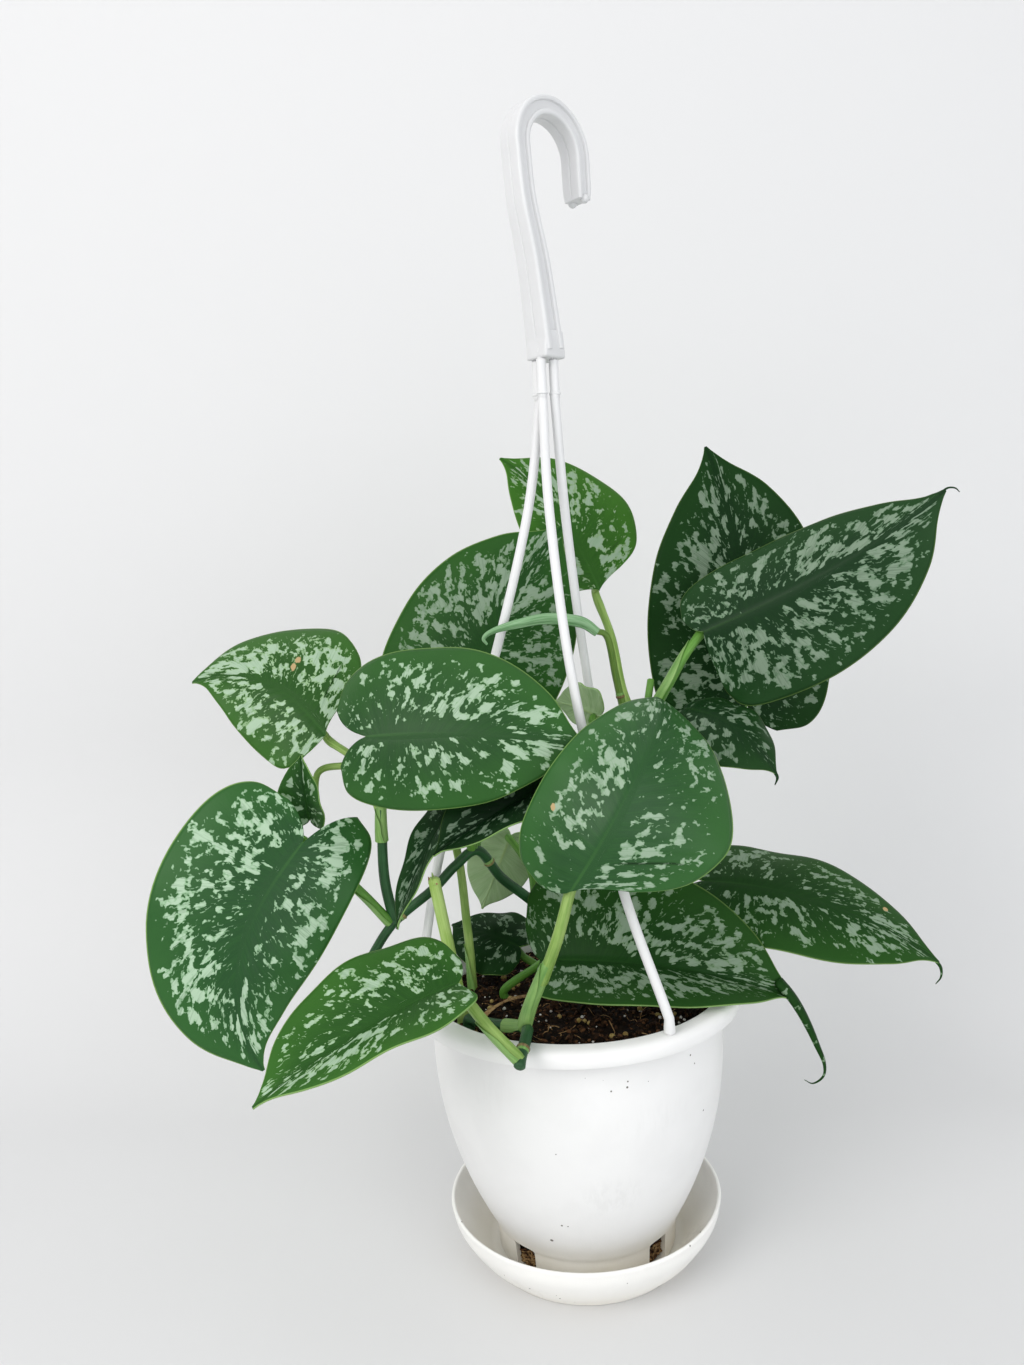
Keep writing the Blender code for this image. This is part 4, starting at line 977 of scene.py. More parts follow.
def makeTipCurl(name, curl, material):
    route, radii = taperedRoute(curl)
    vertices, faces, line, ring = sweep(route, radii, curlSection)
    vertices, line, ring = np.array(vertices), np.array(line), np.array(ring)
    # the curl carries on its leaf's pattern, in tenths of a metre, on the outer part of the blade
    grain = np.stack([ring[:, 0] * line[:, 1] * 0.1 + 0.05, line[:, 0] + 0.9], axis=1)
    blade = np.stack([0.5 + 0.22 * ring[:, 0], np.full(len(line), 0.5)], axis=1)
    return meshObject(name + "_tip", vertices, faces, [material], uvs={"blade": blade, "grain": grain})


# Stems and stalks

stemShape = {
    "sides": 14, "perSpan": 9, "groove": 0.16, "depth": 0.012, "arrival": 0.007, "reach": 0.0026,
    "sink": 0.0011, "ringWidth": 0.0016, "ringSwell": 0.20, "scarSwell": 0.08,
    "sheathGap": 0.00035, "sheathThickness": 0.0003, "sheathOpening": 205, "sheathRows": 26,
    "sheathColumns": 15, "cutFibres": 11, "knee": (0.16, 0.86, 0.06), "endTaper": (0.92, 0.78, 0.58),
}
soilTop = 0.1265
stemLooks = {
    "freshGreen": dict(deep=(0.140, 0.270, 0.040), pale=(0.300, 0.440, 0.120), speck=0.03),
    "limeGreen": dict(deep=(0.230, 0.380, 0.060), pale=(0.400, 0.550, 0.180), speck=0.03),
    "midGreen": dict(deep=(0.060, 0.190, 0.020), pale=(0.130, 0.310, 0.045), speck=0.05),
    "darkGreen": dict(deep=(0.008, 0.045, 0.012), pale=(0.024, 0.105, 0.030), speck=0.12),
    "sheathGreen": dict(deep=(0.110, 0.260, 0.055), pale=(0.260, 0.430, 0.130), speck=0.03),
    "oliveGreen": dict(deep=(0.075, 0.160, 0.020), pale=(0.170, 0.270, 0.050), speck=0.05),
    "nodeBrown": dict(deep=(0.110, 0.060, 0.025), pale=(0.270, 0.260, 0.090), speck=0.20),
    "dryBrown": dict(deep=(0.150, 0.055, 0.022), pale=(0.430, 0.250, 0.120), speck=0.20),
}
stemSlots = list(stemLooks)
# each stem is its points, first and last radius and look, and any node rings and sheath, as shares of it
stems = {
    "vine_front": [
        dict(points=[(-0.050, -0.034), (-0.046, -0.038, 0.1325), (-0.036, -0.047, 0.1345),
                     (-0.023, -0.060, 0.1385), (-0.0215, -0.076, 0.1425), (-0.0235, -0.087, 0.1390),
                     (-0.0242, -0.0915, 0.1365)],
             radii=(0.0027, 0.0025), look="darkGreen", rings=(0.50, 0.90), sheath=(0.47, 0.72)),
        dict(points=[(-0.023, -0.061, 0.1390), (-0.019, -0.066, 0.152), (-0.011, -0.073, 0.172)],
             radii=(0.0031, 0.0026), look="sheathGreen", sheath=(0.05, 0.98)),
        dict(leaf="leaf_front", points=[(-0.014, -0.070, 0.163), (-0.006, -0.076, 0.185)],
             radii=(0.0027, 0.0023), look="freshGreen"),
        dict(leaf="leaf_front_left", points=[(-0.0238, -0.0890, 0.1380), (-0.036, -0.085, 0.1500)],
             radii=(0.0027, 0.0023), look="freshGreen", sheath=(0.02, 0.55)),
    ],
    "vine_left": [
        dict(points=[(0.002, 0.022), (-0.002, 0.022, 0.142), (-0.017, 0.018, 0.167), (-0.034, 0.008, 0.186),
                     (-0.044, -0.002, 0.203), (-0.055, -0.006, 0.197), (-0.066, -0.010, 0.187),
                     (-0.086, -0.015, 0.172), (-0.098, -0.030, 0.156)],
             radii=(0.0028, 0.0022), look="darkGreen", rings=(0.27, 0.52, 0.83)),
        dict(points=[(-0.085, -0.014, 0.1725), (-0.089, -0.012, 0.195), (-0.088, -0.013, 0.228)],
             radii=(0.0027, 0.0023), look="darkGreen", rings=(0.74,)),
        dict(points=[(-0.0886, -0.0124, 0.2125), (-0.0885, -0.0127, 0.220), (-0.088, -0.013, 0.229)],
             radii=(0.0030, 0.0026), look="sheathGreen", sheath=(0.0, 0.95)),
        dict(leaf="leaf_low_left", points=[(-0.087, -0.015, 0.173), (-0.100, -0.018, 0.190)],
             radii=(0.0023, 0.0019), look="midGreen", sheath=(0.0, 0.40)),
        dict(leaf="leaf_left",
             points=[(-0.088, -0.013, 0.226), (-0.091, -0.009, 0.245), (-0.103, -0.006, 0.254)],
             radii=(0.0022, 0.0018), look="freshGreen"),
        dict(leaf="leaf_left_edge",
             points=[(-0.0885, -0.0125, 0.224), (-0.097, -0.002, 0.2445), (-0.110, 0.002, 0.2470),
                     (-0.1215, 0.003, 0.2430)],
             radii=(0.0020, 0.0016), look="freshGreen"),
        dict(leaf="leaf_centre_back",
             points=[(-0.045, -0.002, 0.203), (-0.043, 0.016, 0.230), (-0.053, 0.033, 0.252)],
             radii=(0.0023, 0.0019), look="midGreen", sheath=(0.0, 0.35)),
        dict(leaf="leaf_inner_left", points=[(-0.047, -0.003, 0.203), (-0.047, -0.014, 0.218)],
             radii=(0.0022, 0.0018), look="midGreen"),
        dict(leaf="leaf_back_pale", points=[(-0.018, 0.017, 0.168), (-0.020, 0.026, 0.184)],
             radii=(0.0022, 0.0018), look="midGreen"),
    ],
    "vine_right": [
        dict(points=[(0.022, 0.014), (0.028, 0.016, 0.150), (0.036, 0.018, 0.200), (0.042, 0.017, 0.262),
                     (0.045, 0.020, 0.280)],
             radii=(0.0028, 0.0018), look="midGreen", rings=(0.16, 0.50, 0.62, 0.78)),
        dict(leaf="leaf_top", points=[(0.0415, 0.018, 0.252), (0.032, 0.028, 0.272), (0.028, 0.046, 0.300)],
             radii=(0.0024, 0.0020), look="freshGreen", sheath=(0.0, 0.3)),
        dict(leaf="leaf_right", points=[(0.0420, 0.017, 0.260), (0.052, 0.012, 0.277), (0.062, 0.016, 0.292)],
             radii=(0.0030, 0.0021), look="midGreen", sheath=(0.0, 0.75)),
        dict(leaf="leaf_right_back",
             points=[(0.0390, 0.018, 0.225), (0.055, 0.044, 0.238), (0.078, 0.062, 0.251)],
             radii=(0.0023, 0.0019), look="midGreen"),
        dict(leaf="leaf_right_small", points=[(0.0415, 0.017, 0.250), (0.048, 0.010, 0.260)],
             radii=(0.0021, 0.0017), look="midGreen"),
        dict(leaf="leaf_low_right_back", points=[(0.0290, 0.016, 0.155), (0.048, 0.026, 0.157)],
             radii=(0.0022, 0.0018), look="midGreen"),
        dict(leaf="leaf_inner", points=[(0.0375, 0.017, 0.210), (0.024, -0.004, 0.224)],
             radii=(0.0022, 0.0017), look="midGreen"),
        dict(leaf="leaf_back_dark", points=[(0.0395, 0.017, 0.232), (0.030, 0.006, 0.250)],
             radii=(0.0021, 0.0017), look="midGreen"),
        dict(leaf="leaf_rolled",
             points=[(0.0410, 0.018, 0.246), (0.032, 0.013, 0.262), (0.0275, 0.011, 0.282)],
             radii=(0.0021, 0.0016), look="oliveGreen", rings=(0.45,)),
    ],
    "petiole_middle": [
        dict(leaf="leaf_middle_left",
             points=[(-0.052, 0.012), (-0.053, 0.012, 0.160), (-0.057, 0.012, 0.205),
                     (-0.072, 0.004, 0.240), (-0.083, -0.016, 0.256)],
             radii=(0.0023, 0.0019), look="freshGreen", sheath=(0.06, 0.20)),
    ],
    "petiole_low_right": [
        dict(leaf="leaf_low_right", points=[(-0.0345, 0.0015)],
             radii=(0.0022, 0.0019), look="midGreen"),
    ],
    "petiole_soil_back": [
        dict(leaf="leaf_soil_back", points=[(-0.0175, 0.0255)],
             radii=(0.0022, 0.0019), look="midGreen"),
    ],
    "petiole_cut": [
        dict(points=[(-0.0535, -0.026), (-0.0570, -0.030, 0.160), (-0.062, -0.035, 0.199)],
             radii=(0.0031, 0.0028), look="limeGreen"),
    ],
}


def makeStemMaterial(name, look):
    material, tree, surface = newMaterial(name)
    fibre = fibresAlong(tree)
    place = objectPlace(tree)
    share = plus(tree, times(tree, fibre["streak"], 0.75),
                 times(tree, noiseAt(tree, place, 60.0), 0.5))
    colour = mixColours(tree, smoothRange(tree, share, 0.42, 0.82), look["deep"], look["pale"])
    specks = useGroup(tree, speckGroup, place=place, scale=900.0, share=look["speck"])["speck"]
    colour = mixColours(tree, times(tree, specks, 0.55), colour, tuple(0.45 * c for c in look["deep"]))
    rough = calc(tree, "MULTIPLY_ADD", fibre["streak"], 0.25, 0.30)
    setSurface(tree, surface, fibre["height"], 0.6, colour=colour, roughness=rough, specular=0.35)
    return material


def hangingPoint(leafName):
    # where a stalk stops, just inside its blade's underside, and the way that it comes there
    if leafName == "leaf_rolled":
        start, after = np.array(rolledLeaf["points"][0]), np.array(rolledLeaf["points"][1])
        return start + 0.001 * unit(after - start), unit(after - start)
    _, turn, base = bladeFrame(leafBlades[leafName])
    forward, normal = turn[:, 0], turn[:, 2]
    end = base + stemShape["reach"] * forward - stemShape["sink"] * normal
    return end, unit(0.75 * normal + 0.66 * forward)


def stemRoute(stem):
    points = list(stem["points"])
    if len(points[0]) == 2:
        x, y = points[0]
        points[:1] = [(x, y, soilTop + lift) for lift in (-stemShape["depth"], -0.002, 0.005)]
    if "leaf" in stem:
        end, arrival = hangingPoint(stem["leaf"])
        points += [tuple(end - stemShape["arrival"] * arrival), tuple(end)]
    route = smoothRoute(points, stemShape["perSpan"])
    shares = routeLengths(route)
    shares /= shares[-1]
    first, last = stem["radii"]
    radii = first + (last - first) * shares
    if "leaf" in stem and stem["leaf"] != "leaf_rolled":
        swell, middle, width = stemShape["knee"]
        radii *= 1 + swell * np.exp(-((shares - middle) / width) ** 2)
        radii[-3:] *= stemShape["endTaper"]
    return route, radii


def addRing(parts, route, radii, share):
    half = stemShape["ringWidth"] / 2 / routeLengths(route)[-1]
    bands = ((0.0, stemShape["ringSwell"], "nodeBrown"), (1.5, stemShape["scarSwell"], "sheathGreen"))
    for shift, swell, look in bands:
        spot = min(max(share + shift * half, half), 1 - half)
        points, own = routePart(route, radii, spot - half, spot + half, 7)
        own = own * (1.0 + swell * np.sin(np.linspace(0, math.pi, 7)))
        addSweep(parts, points, own, roundSection(16), stemSlots.index(look), dome=False)


def addSheath(parts, route, radii, fromShare, toShare, seed):
    # a thin open skin wrapped round the stalk, narrowing to a point at its upper end
    rows, columns = stemShape["sheathRows"], stemShape["sheathColumns"]
    points, own = routePart(route, radii, fromShare, toShare, rows)
    directions = np.gradient(points, axis=0)
    directions /= np.linalg.norm(directions, axis=1)[:, None]
    opening = math.radians(stemShape["sheathOpening"])
    side = unit(np.cross(directions[0], (0.0, 1.0, 0.0)))
    outer, inner = np.zeros((rows, columns, 3)), np.zeros((rows, columns, 3))
    for i, share in enumerate(np.linspace(0, 1, rows)):
        side = unit(side - side.dot(directions[i]) * directions[i])
        other = np.cross(directions[i], side)
        half = opening / 2 * (1 - share**2.2) ** 0.6 * (1 + 0.06 * math.sin(9 * share + seed)) + 0.04
        for j, angle in enumerate(np.linspace(-half, half, columns)):
            lift = stemShape["sheathGap"] * (1 + 1.6 * abs(angle / half) ** 3) * (1 - 0.6 * share)
            away = math.cos(angle) * side + math.sin(angle) * other
            inner[i, j] = points[i] + away * (own[i] * 0.97 + lift)
            outer[i, j] = inner[i, j] + away * stemShape["sheathThickness"]
    vertices, faces, _ = closedSheet(outer, inner)
    walked = np.repeat(np.linspace(fromShare, toShare, rows) * routeLengths(route)[-1] * 10, columns)
    around = np.tile(np.linspace(-1.5, 1.5, columns), rows)
    line = np.tile(np.stack([walked, np.full_like(walked, 0.2)], axis=1), (2, 1))
    ring = np.tile(np.stack([np.cos(around), np.sin(around)], axis=1), (2, 1))
    addParts(parts, vertices, faces, stemSlots.index("sheathGreen"), line, ring)


def addRaggedCut(parts, route, radii, rng):
    # the torn end of the stalk that lost its leaf: uneven fibres round a dry hollow
    end, direction = route[-1], unit(route[-1] - route[-2])
    side = unit(np.cross(direction, (0.0, 1.0, 0.0)))
    other = np.cross(direction, side)
    count = stemShape["cutFibres"]
    for i in range(count):
        angle = 2 * math.pi * i / count + rng.uniform(-0.2, 0.2)
        away = math.cos(angle) * side + math.sin(angle) * other
        foot = end + away * radii[-1] * 0.74 - direction * 0.0015
        reach = rng.uniform(0.0012, 0.0034) * (1.25 if math.cos(angle) > 0 else 0.75)
        points = [foot, foot + direction * reach * 0.6,
                  foot + direction * reach + away * rng.uniform(-0.4, 0.5) * 0.0006]
        look = "limeGreen" if i % 4 else "dryBrown"
        addSweep(parts, smoothRoute(points, 3), np.linspace(0.00085, 0.00022, 7), roundSection(6),
                 stemSlots.index(look))


def makeVine(name, ownStems):
    rng = random.Random(len(name) + len(ownStems))
    parts = newParts()
    section = roundSection(stemShape["sides"], stemShape["groove"])
    for i, stem in enumerate(ownStems):
        route, radii = stemRoute(stem)
        addSweep(parts, route, radii, section, stemSlots.index(stem["look"]))
        for share in stem.get("rings", ()):
            addRing(parts, route, radii, share)
        if "sheath" in stem:
            addSheath(parts, route, radii, *stem["sheath"], seed=i)
        if stem["look"] == "limeGreen":
            addRaggedCut(parts, route, radii, rng)
    place(partsObject(name + "_stems", parts, stemMaterials), name, slot="green_stem")


stemMaterials = [makeStemMaterial(name, look) for name, look in stemLooks.items()]


# Potting mix

soilLook = {
    "rings": 90, "steps": 220, "lump": 0.016, "grain": 0.0065, "fine": 0.0024, "height": 0.0022,
    "mixDeep": (0.0015, 0.001, 0.0007), "mixPale": (0.016, 0.009, 0.005),
    "crumbs": 2600, "perlite": 90, "pellets": 40, "bark": 190, "fibres": 120, "rim": 0.0672,
}
soilSlots = ["mix", "perlite", "pellet", "bark", "fibre", "crumb"]
# sizes are the smallest, the largest and the power that makes large ones rare; others is the share of bark
soilGrains = [
    dict(name="crumb", count="crumbs", sizes=(0.0004, 0.0017, 2.2), widths=(0.6, 1), depth=0.7, lift=0.25,
         rough=0.3, others=0.2),
    dict(name="perlite", count="perlite", sizes=(0.00035, 0.0011, 1.6), width=0.9, depth=0.8, lift=0.6,
         rough=0.22),
    dict(name="pellet", count="pellets", sizes=(0.0010, 0.0016, 1), width=1, depth=0.95, lift=0.5,
         rough=0.03, level=2),
    dict(name="bark", count="bark", sizes=(0.0010, 0.0032, 1), widths=(0.3, 0.6), depth=0.22, lift=0.0,
         above=0.0004, rough=0.22),
]
# a dry strip of old root that loops over the mix in front
soilStrip = {
    "points": [(-0.046, -0.036, 0.1290), (-0.042, -0.030, 0.1325), (-0.036, -0.023, 0.1340),
               (-0.030, -0.015, 0.1330), (-0.024, -0.004, 0.1295)],
    "radius": 0.0013, "swell": 0.0004, "flatness": 0.35, "sides": 10,
}
potShape = {
    "base": 0.0033, "height": 0.1360, "footRadius": 0.0440, "footTop": 0.0190, "bodyTop": 0.1260,
    "bodyTopRadius": 0.0700, "bodyBulge": 0.0755, "wall": 0.0018, "floor": 0.0022,
    "lipRadius": 0.0800, "lipHeight": 0.0075, "lipWall": 0.0015, "steps": 192, "bodyRings": 40,
    "notches": 4, "notchAngle": -132, "notchWidth": 0.0125, "notchTop": 0.0200, "holeRadius": 0.0020,
    "tab": dict(angle=-32, low=0.1210, high=0.1283, width=0.0007, reach=0.0008),
}


def bodyRadius(share):
    shape = potShape
    low = (shape["footRadius"] + 0.003) * (1 - share) ** 2
    return low + 2 * share * (1 - share) * shape["bodyBulge"] + share**2 * shape["bodyTopRadius"]


def bodyCurve(inset, shares):
    low = potShape["footTop"] + 0.002
    return [(bodyRadius(share) - inset, low + (potShape["bodyTop"] - low) * share) for share in shares]


def soilHeight(x, y):
    look = soilLook
    lumps = noise.noise(Vector((x / look["lump"], y / look["lump"], 3.0)))
    grains = noise.noise(Vector((x / look["grain"], y / look["grain"], 7.0)))
    fine = noise.noise(Vector((x / look["fine"], y / look["fine"], 11.0)))
    return soilTop + look["height"] * (lumps + 0.6 * grains + 0.28 * fine)


def soilBody():
    # the turned body of the mix, with its top lifted into lumps
    look, shape = soilLook, potShape
    inset, floor = shape["wall"] + 0.0009, shape["base"] + shape["floor"] + 0.0006
    rim = bodyRadius((soilTop - shape["footTop"]) / (shape["bodyTop"] - shape["footTop"])) - inset
    profile = [(r, soilTop) for r in np.linspace(0, rim, look["rings"])[1:]]
    topRings = len(profile)
    profile += [(rim, soilTop - 0.003)] + bodyCurve(inset, np.linspace(0.9, 0.0, 12))
    profile += [(shape["footRadius"] - shape["wall"] - 0.0003, shape["footTop"] - 0.001),
                (shape["footRadius"] - 0.0034, 0.012), (shape["footRadius"] - 0.0037, floor + 0.0004)]
    steps = look["steps"]
    angles = roundAngles(steps)
    vertices = [(0.0, 0.0, soilHeight(0.0, 0.0))]
    for i, (radius, z) in enumerate(profile):
        for angle in angles:
            x, y = radius * math.cos(angle), radius * math.sin(angle)
            vertices.append((x, y, soilHeight(x, y) if i < topRings else z))
    vertices.append((0.0, 0.0, floor))
    return vertices, turnedFaces(len(profile), steps)


def icosphere(level):
    ball = bmesh.new()
    bmesh.ops.create_icosphere(ball, subdivisions=level, radius=1.0)
    points = np.array([tuple(v.co) for v in ball.verts])
    faces = [tuple(v.index for v in f.verts) for f in ball.faces]
    ball.free()
    return points, faces


def addLump(parts, shape, centre, size, stretch, rng, slot, rough):
    points, faces = shape
    jitter = 1 + rough * np.array([rng.uniform(-1, 1) for _ in points])[:, None]
    turn = Matrix.Rotation(rng.uniform(0, 6.28), 3, "Z") @ Matrix.Rotation(rng.uniform(-0.7, 0.7), 3, "X")
    own = (points * jitter * np.array(stretch)) @ np.array(turn).T * size
    addParts(parts, own + np.array(centre), faces, slot)


def soilSpot(rng, rim):
    radius, angle = rim * math.sqrt(rng.random()), rng.uniform(0, 2 * math.pi)
    return radius * math.cos(angle), radius * math.sin(angle)


def addFibre(parts, rng, start, length, radius, slot, lift=0.0012):
    heading = rng.uniform(0, 2 * math.pi)
    x, y = start
    points = []
    for _ in range(5):
        points.append((x, y, soilHeight(x, y) + rng.uniform(-0.0004, lift)))
        heading += rng.uniform(-0.8, 0.8)
        x += length / 4 * math.cos(heading)
        y += length / 4 * math.sin(heading)
        x, y = (c * min(1.0, soilLook["rim"] / math.hypot(x, y)) for c in (x, y))
    addSweep(parts, smoothRoute(points, 3), np.linspace(radius, radius * 0.5, 13), roundSection(5), slot)


def addRootWindows(parts, rng):
    # pale roots and crumbs that show in the foot's two front openings
    shape = potShape
    for opening in range(shape["notches"]):
        middle = math.radians(shape["notchAngle"]) + opening * 2 * math.pi / shape["notches"]
        for _ in range(26):
            angle = middle + rng.uniform(-0.15, 0.15)
            z = rng.uniform(0.0065, 0.0138)
            points = []
            for step in range(4):
                reach = shape["footRadius"] - 0.0030 + rng.uniform(0.0, 0.0016)
                turned = angle + (step - 1.5) * rng.uniform(0.02, 0.06)
                points.append((reach * math.cos(turned), reach * math.sin(turned),
                               z + rng.uniform(-0.0012, 0.0012)))
            slot = soilSlots.index(rng.choice(["fibre", "bark", "fibre"]))
            radii = np.full(10, rng.uniform(0.0003, 0.0007))
            addSweep(parts, smoothRoute(points, 3), radii, roundSection(5), slot)


def makeGranuleMaterial(name, deep, pale, roughness, scale):
    material, tree, surface = newMaterial(name)
    place = objectPlace(tree)
    fine = noiseAt(tree, place, scale, 3.0, 0.65)
    broad = noiseAt(tree, place, 260.0, 1.0)
    share = plus(tree, times(tree, fine, 0.6), times(tree, broad, 0.4))
    colour = mixColours(tree, smoothRange(tree, share, 0.38, 0.62), deep, pale)
    setSurface(tree, surface, fine, 0.9, 0.0006, colour=colour, roughness=roughness, specular=0.12)
    return material


def scatterGrains(parts, rng, kind, ball):
    # strews lumps of one kind over the mix, each drawn with its own size, width and turn
    low, high, power = kind["sizes"]
    for _ in range(soilLook[kind["count"]]):
        x, y = soilSpot(rng, soilLook["rim"])
        size = low + (high - low) * rng.random() ** power
        width = rng.uniform(*kind["widths"]) if "widths" in kind else kind["width"]
        name = kind["name"]
        if "others" in kind and rng.random() >= 1 - kind["others"]:
            name = "bark"
        centre = (x, y, soilHeight(x, y) + kind["lift"] * size + kind.get("above", 0.0))
        stretch = (1, width, kind["depth"])
        addLump(parts, ball, centre, size, stretch, rng, soilSlots.index(name), kind["rough"])


def makeSoil():
    rng = random.Random(11)
    look, parts = soilLook, newParts()
    vertices, faces = soilBody()
    addParts(parts, vertices, faces, 0)
    balls = {level: icosphere(level) for level in (1, 2)}
    for kind in soilGrains:
        scatterGrains(parts, rng, kind, balls[kind.get("level", 1)])
    for _ in range(look["fibres"]):
        spot = soilSpot(rng, look["rim"])
        length, radius = rng.uniform(0.005, 0.018), rng.uniform(0.00012, 0.00032)
        addFibre(parts, rng, spot, length, radius, soilSlots.index("fibre"))
    addRootWindows(parts, rng)
    strip = smoothRoute(soilStrip["points"], 6)
    radii = soilStrip["radius"] + soilStrip["swell"] * np.sin(np.linspace(0, 9, len(strip)))
    flat = roundSection(soilStrip["sides"]) * (1, soilStrip["flatness"])
    addSweep(parts, strip, radii, flat, soilSlots.index("fibre"))
    materials = [
        makeGranuleMaterial("darkMix", look["mixDeep"], look["mixPale"], 0.92, 900.0),
        makeGranuleMaterial("perliteGrain", (0.50, 0.48, 0.44), (0.82, 0.81, 0.78), 0.85, 1500.0),
        makeGranuleMaterial("feedPellet", (0.230, 0.150, 0.045), (0.420, 0.320, 0.120), 0.45, 700.0),
        makeGranuleMaterial("barkChip", (0.020, 0.009, 0.004), (0.140, 0.065, 0.028), 0.80, 800.0),
        makeGranuleMaterial("dryRoot", (0.160, 0.085, 0.035), (0.430, 0.280, 0.130), 0.75, 1100.0),
        makeGranuleMaterial("mixCrumb", (0.004, 0.0025, 0.0015), (0.050, 0.025, 0.013), 0.92, 900.0),
    ]
    place(partsObject("pottingMix", parts, materials, 60), "soil", slot="potting_mix")


# White plastic: pot, saucer, hook and strands

# scuffs are a middle, a reach and a strength; dots are a middle and a radius in units of 0.08 mm
plasticLooks = {
    "pot": dict(
        white=(0.860, 0.858, 0.848), tint=(0.830, 0.750, 0.580), tintLow=0.008, tintHigh=0.036,
        tintShare=0.70, roughness=0.34, speckScale=230.0, specks=0.020,
        scuffs=[((0.011, -0.060, 0.060), (0.022, 0.020, 0.016), 0.07),
                ((0.030, -0.060, 0.096), (0.030, 0.02, 0.012), 0.04),
                ((-0.040, -0.055, 0.110), (0.016, 0.02, 0.02), 0.03)],
        dots=[(-0.0163, -0.0503, 0.0330, 10), (-0.0112, -0.0566, 0.0443, 7), (-0.0085, -0.0570, 0.0440, 5),
              (0.0023, -0.0701, 0.1200, 5), (0.0051, -0.0700, 0.1171, 4), (0.0099, -0.0696, 0.1185, 4),
              (0.0131, -0.0693, 0.1133, 6), (0.0201, -0.0676, 0.1140, 7), (0.0205, -0.0675, 0.1165, 5),
              (0.0294, -0.0640, 0.1146, 5), (0.0495, -0.0500, 0.1189, 6), (0.0513, -0.0483, 0.1142, 6),
              (0.0505, -0.0490, 0.1165, 4), (0.0553, -0.0419, 0.0885, 6), (0.0075, -0.0701, 0.1130, 4),
              (-0.0119, -0.0677, 0.0846, 5), (-0.0077, -0.0679, 0.0828, 4)]),
    "saucer": dict(
        # the saucer's white is lighter than the pot's: painted light that stands in for the light its hollow
        # under the pot lacks
        white=(0.930, 0.920, 0.885), tint=(0.880, 0.810, 0.660), tintLow=0.002, tintHigh=0.020,
        tintShare=0.40, roughness=0.38, speckScale=260.0, specks=0.030,
        scuffs=[((0.050, -0.020, 0.012), (0.016, 0.022, 0.016), 0.22),
                ((-0.030, -0.052, 0.010), (0.02, 0.016, 0.01), 0.08)],
        dots=[(-0.0273, -0.0544, 0.0128, 6), (-0.0138, -0.0568, 0.0095, 6), (-0.0073, -0.0550, 0.0060, 5),
              (-0.0599, -0.0276, 0.0278, 6), (-0.0350, -0.0520, 0.0140, 7), (-0.0390, -0.0500, 0.0160, 4),
              (0.0464, -0.0486, 0.0274, 5), (0.0549, -0.0160, 0.0118, 8), (0.0200, -0.0590, 0.0130, 5)]),
    "hook": dict(
        # the hook's white is darker than the pot's: painted shade
        white=(0.700, 0.703, 0.708), tint=(0.62, 0.63, 0.65), tintLow=0.0, tintHigh=0.01, tintShare=0.0,
        roughness=0.30, speckScale=300.0, specks=0.006, scuffs=[], dots=[]),
    "strand": dict(
        # the strands' white is darker than the pot's: painted shade
        white=(0.770, 0.772, 0.775), tint=(0.66, 0.66, 0.64), tintLow=0.136, tintHigh=0.150, tintShare=0.4,
        roughness=0.32, speckScale=300.0, specks=0.004, scuffs=[], dots=[]),
}


dotUnit = 0.00008
dirtColours = {"scuff": (0.30, 0.29, 0.27), "speck": (0.07, 0.050, 0.035)}


def makePlasticMaterial(name, look):
    material, tree, surface = newMaterial(name + "Plastic")
    place = objectPlace(tree)
    parts = useGroup(tree, plasticGroup, place=place, tintLow=look["tintLow"], tintHigh=look["tintHigh"])
    # the base white is the pot's own colour; the saucer's is lifted with painted light, and the hook's and
    # strands' are lowered with painted shade
    colour = mixColours(tree, times(tree, parts["mottle"], 0.35), look["white"],
                        tuple(0.93 * c for c in look["white"]))
    colour = mixColours(tree, times(tree, parts["low"], look["tintShare"]), colour, look["tint"])
    scuffed = 0.0
    for centre, reach, strength in look["scuffs"]:
        far = farFrom(tree, place, centre, reach)
        mark = times(tree, smoothRange(tree, far, 0.25, 1.0, 1.0, 0.0), parts["smear"])
        scuffed = plus(tree, scuffed, times(tree, mark, strength))
    colour = mixColours(tree, scuffed, colour, dirtColours["scuff"])
    specks = useGroup(tree, speckGroup, place=place, scale=look["speckScale"], share=look["specks"])["speck"]
    for *centre, size in look["dots"]:
        specks = calc(tree, "MAXIMUM", specks, markAt(tree, place, centre, (size * dotUnit,) * 3))
    colour = mixColours(tree, times(tree, specks, 0.90), colour, dirtColours["speck"])
    rough = calc(tree, "MULTIPLY_ADD", parts["mottle"], 0.10, look["roughness"])
    setSurface(tree, surface, parts["height"], 0.25, 0.0002, colour=colour, specular=0.45,
               roughness=plus(tree, rough, times(tree, specks, 0.3)), scatter=0.12, scatterScale=0.004)
    surface.inputs["Subsurface Radius"].default_value = (1.0, 1.0, 0.95)
    return material


def boxObject(name, size, centre, turn, bevel=0.0):
    box = bmesh.new()
    bmesh.ops.create_cube(box, size=1.0)
    bmesh.ops.scale(box, vec=size, verts=box.verts)
    if bevel:
        bmesh.ops.bevel(box, geom=box.edges, offset=bevel, segments=3, profile=0.5, affect="EDGES")
    bmesh.ops.rotate(box, matrix=Matrix.Rotation(turn, 3, "Z"), verts=box.verts)
    bmesh.ops.translate(box, vec=centre, verts=box.verts)
    return objectFrom(name, box)


def barObject(name, x, y, low, high, radius, steps=20):
    # an upright round bar
    made = turnedObject(name, [(0.0, low), (radius, low), (radius, high), (0.0, high)], steps, [])
    made.data.transform(Matrix.Translation((x, y, 0.0)))
    return made


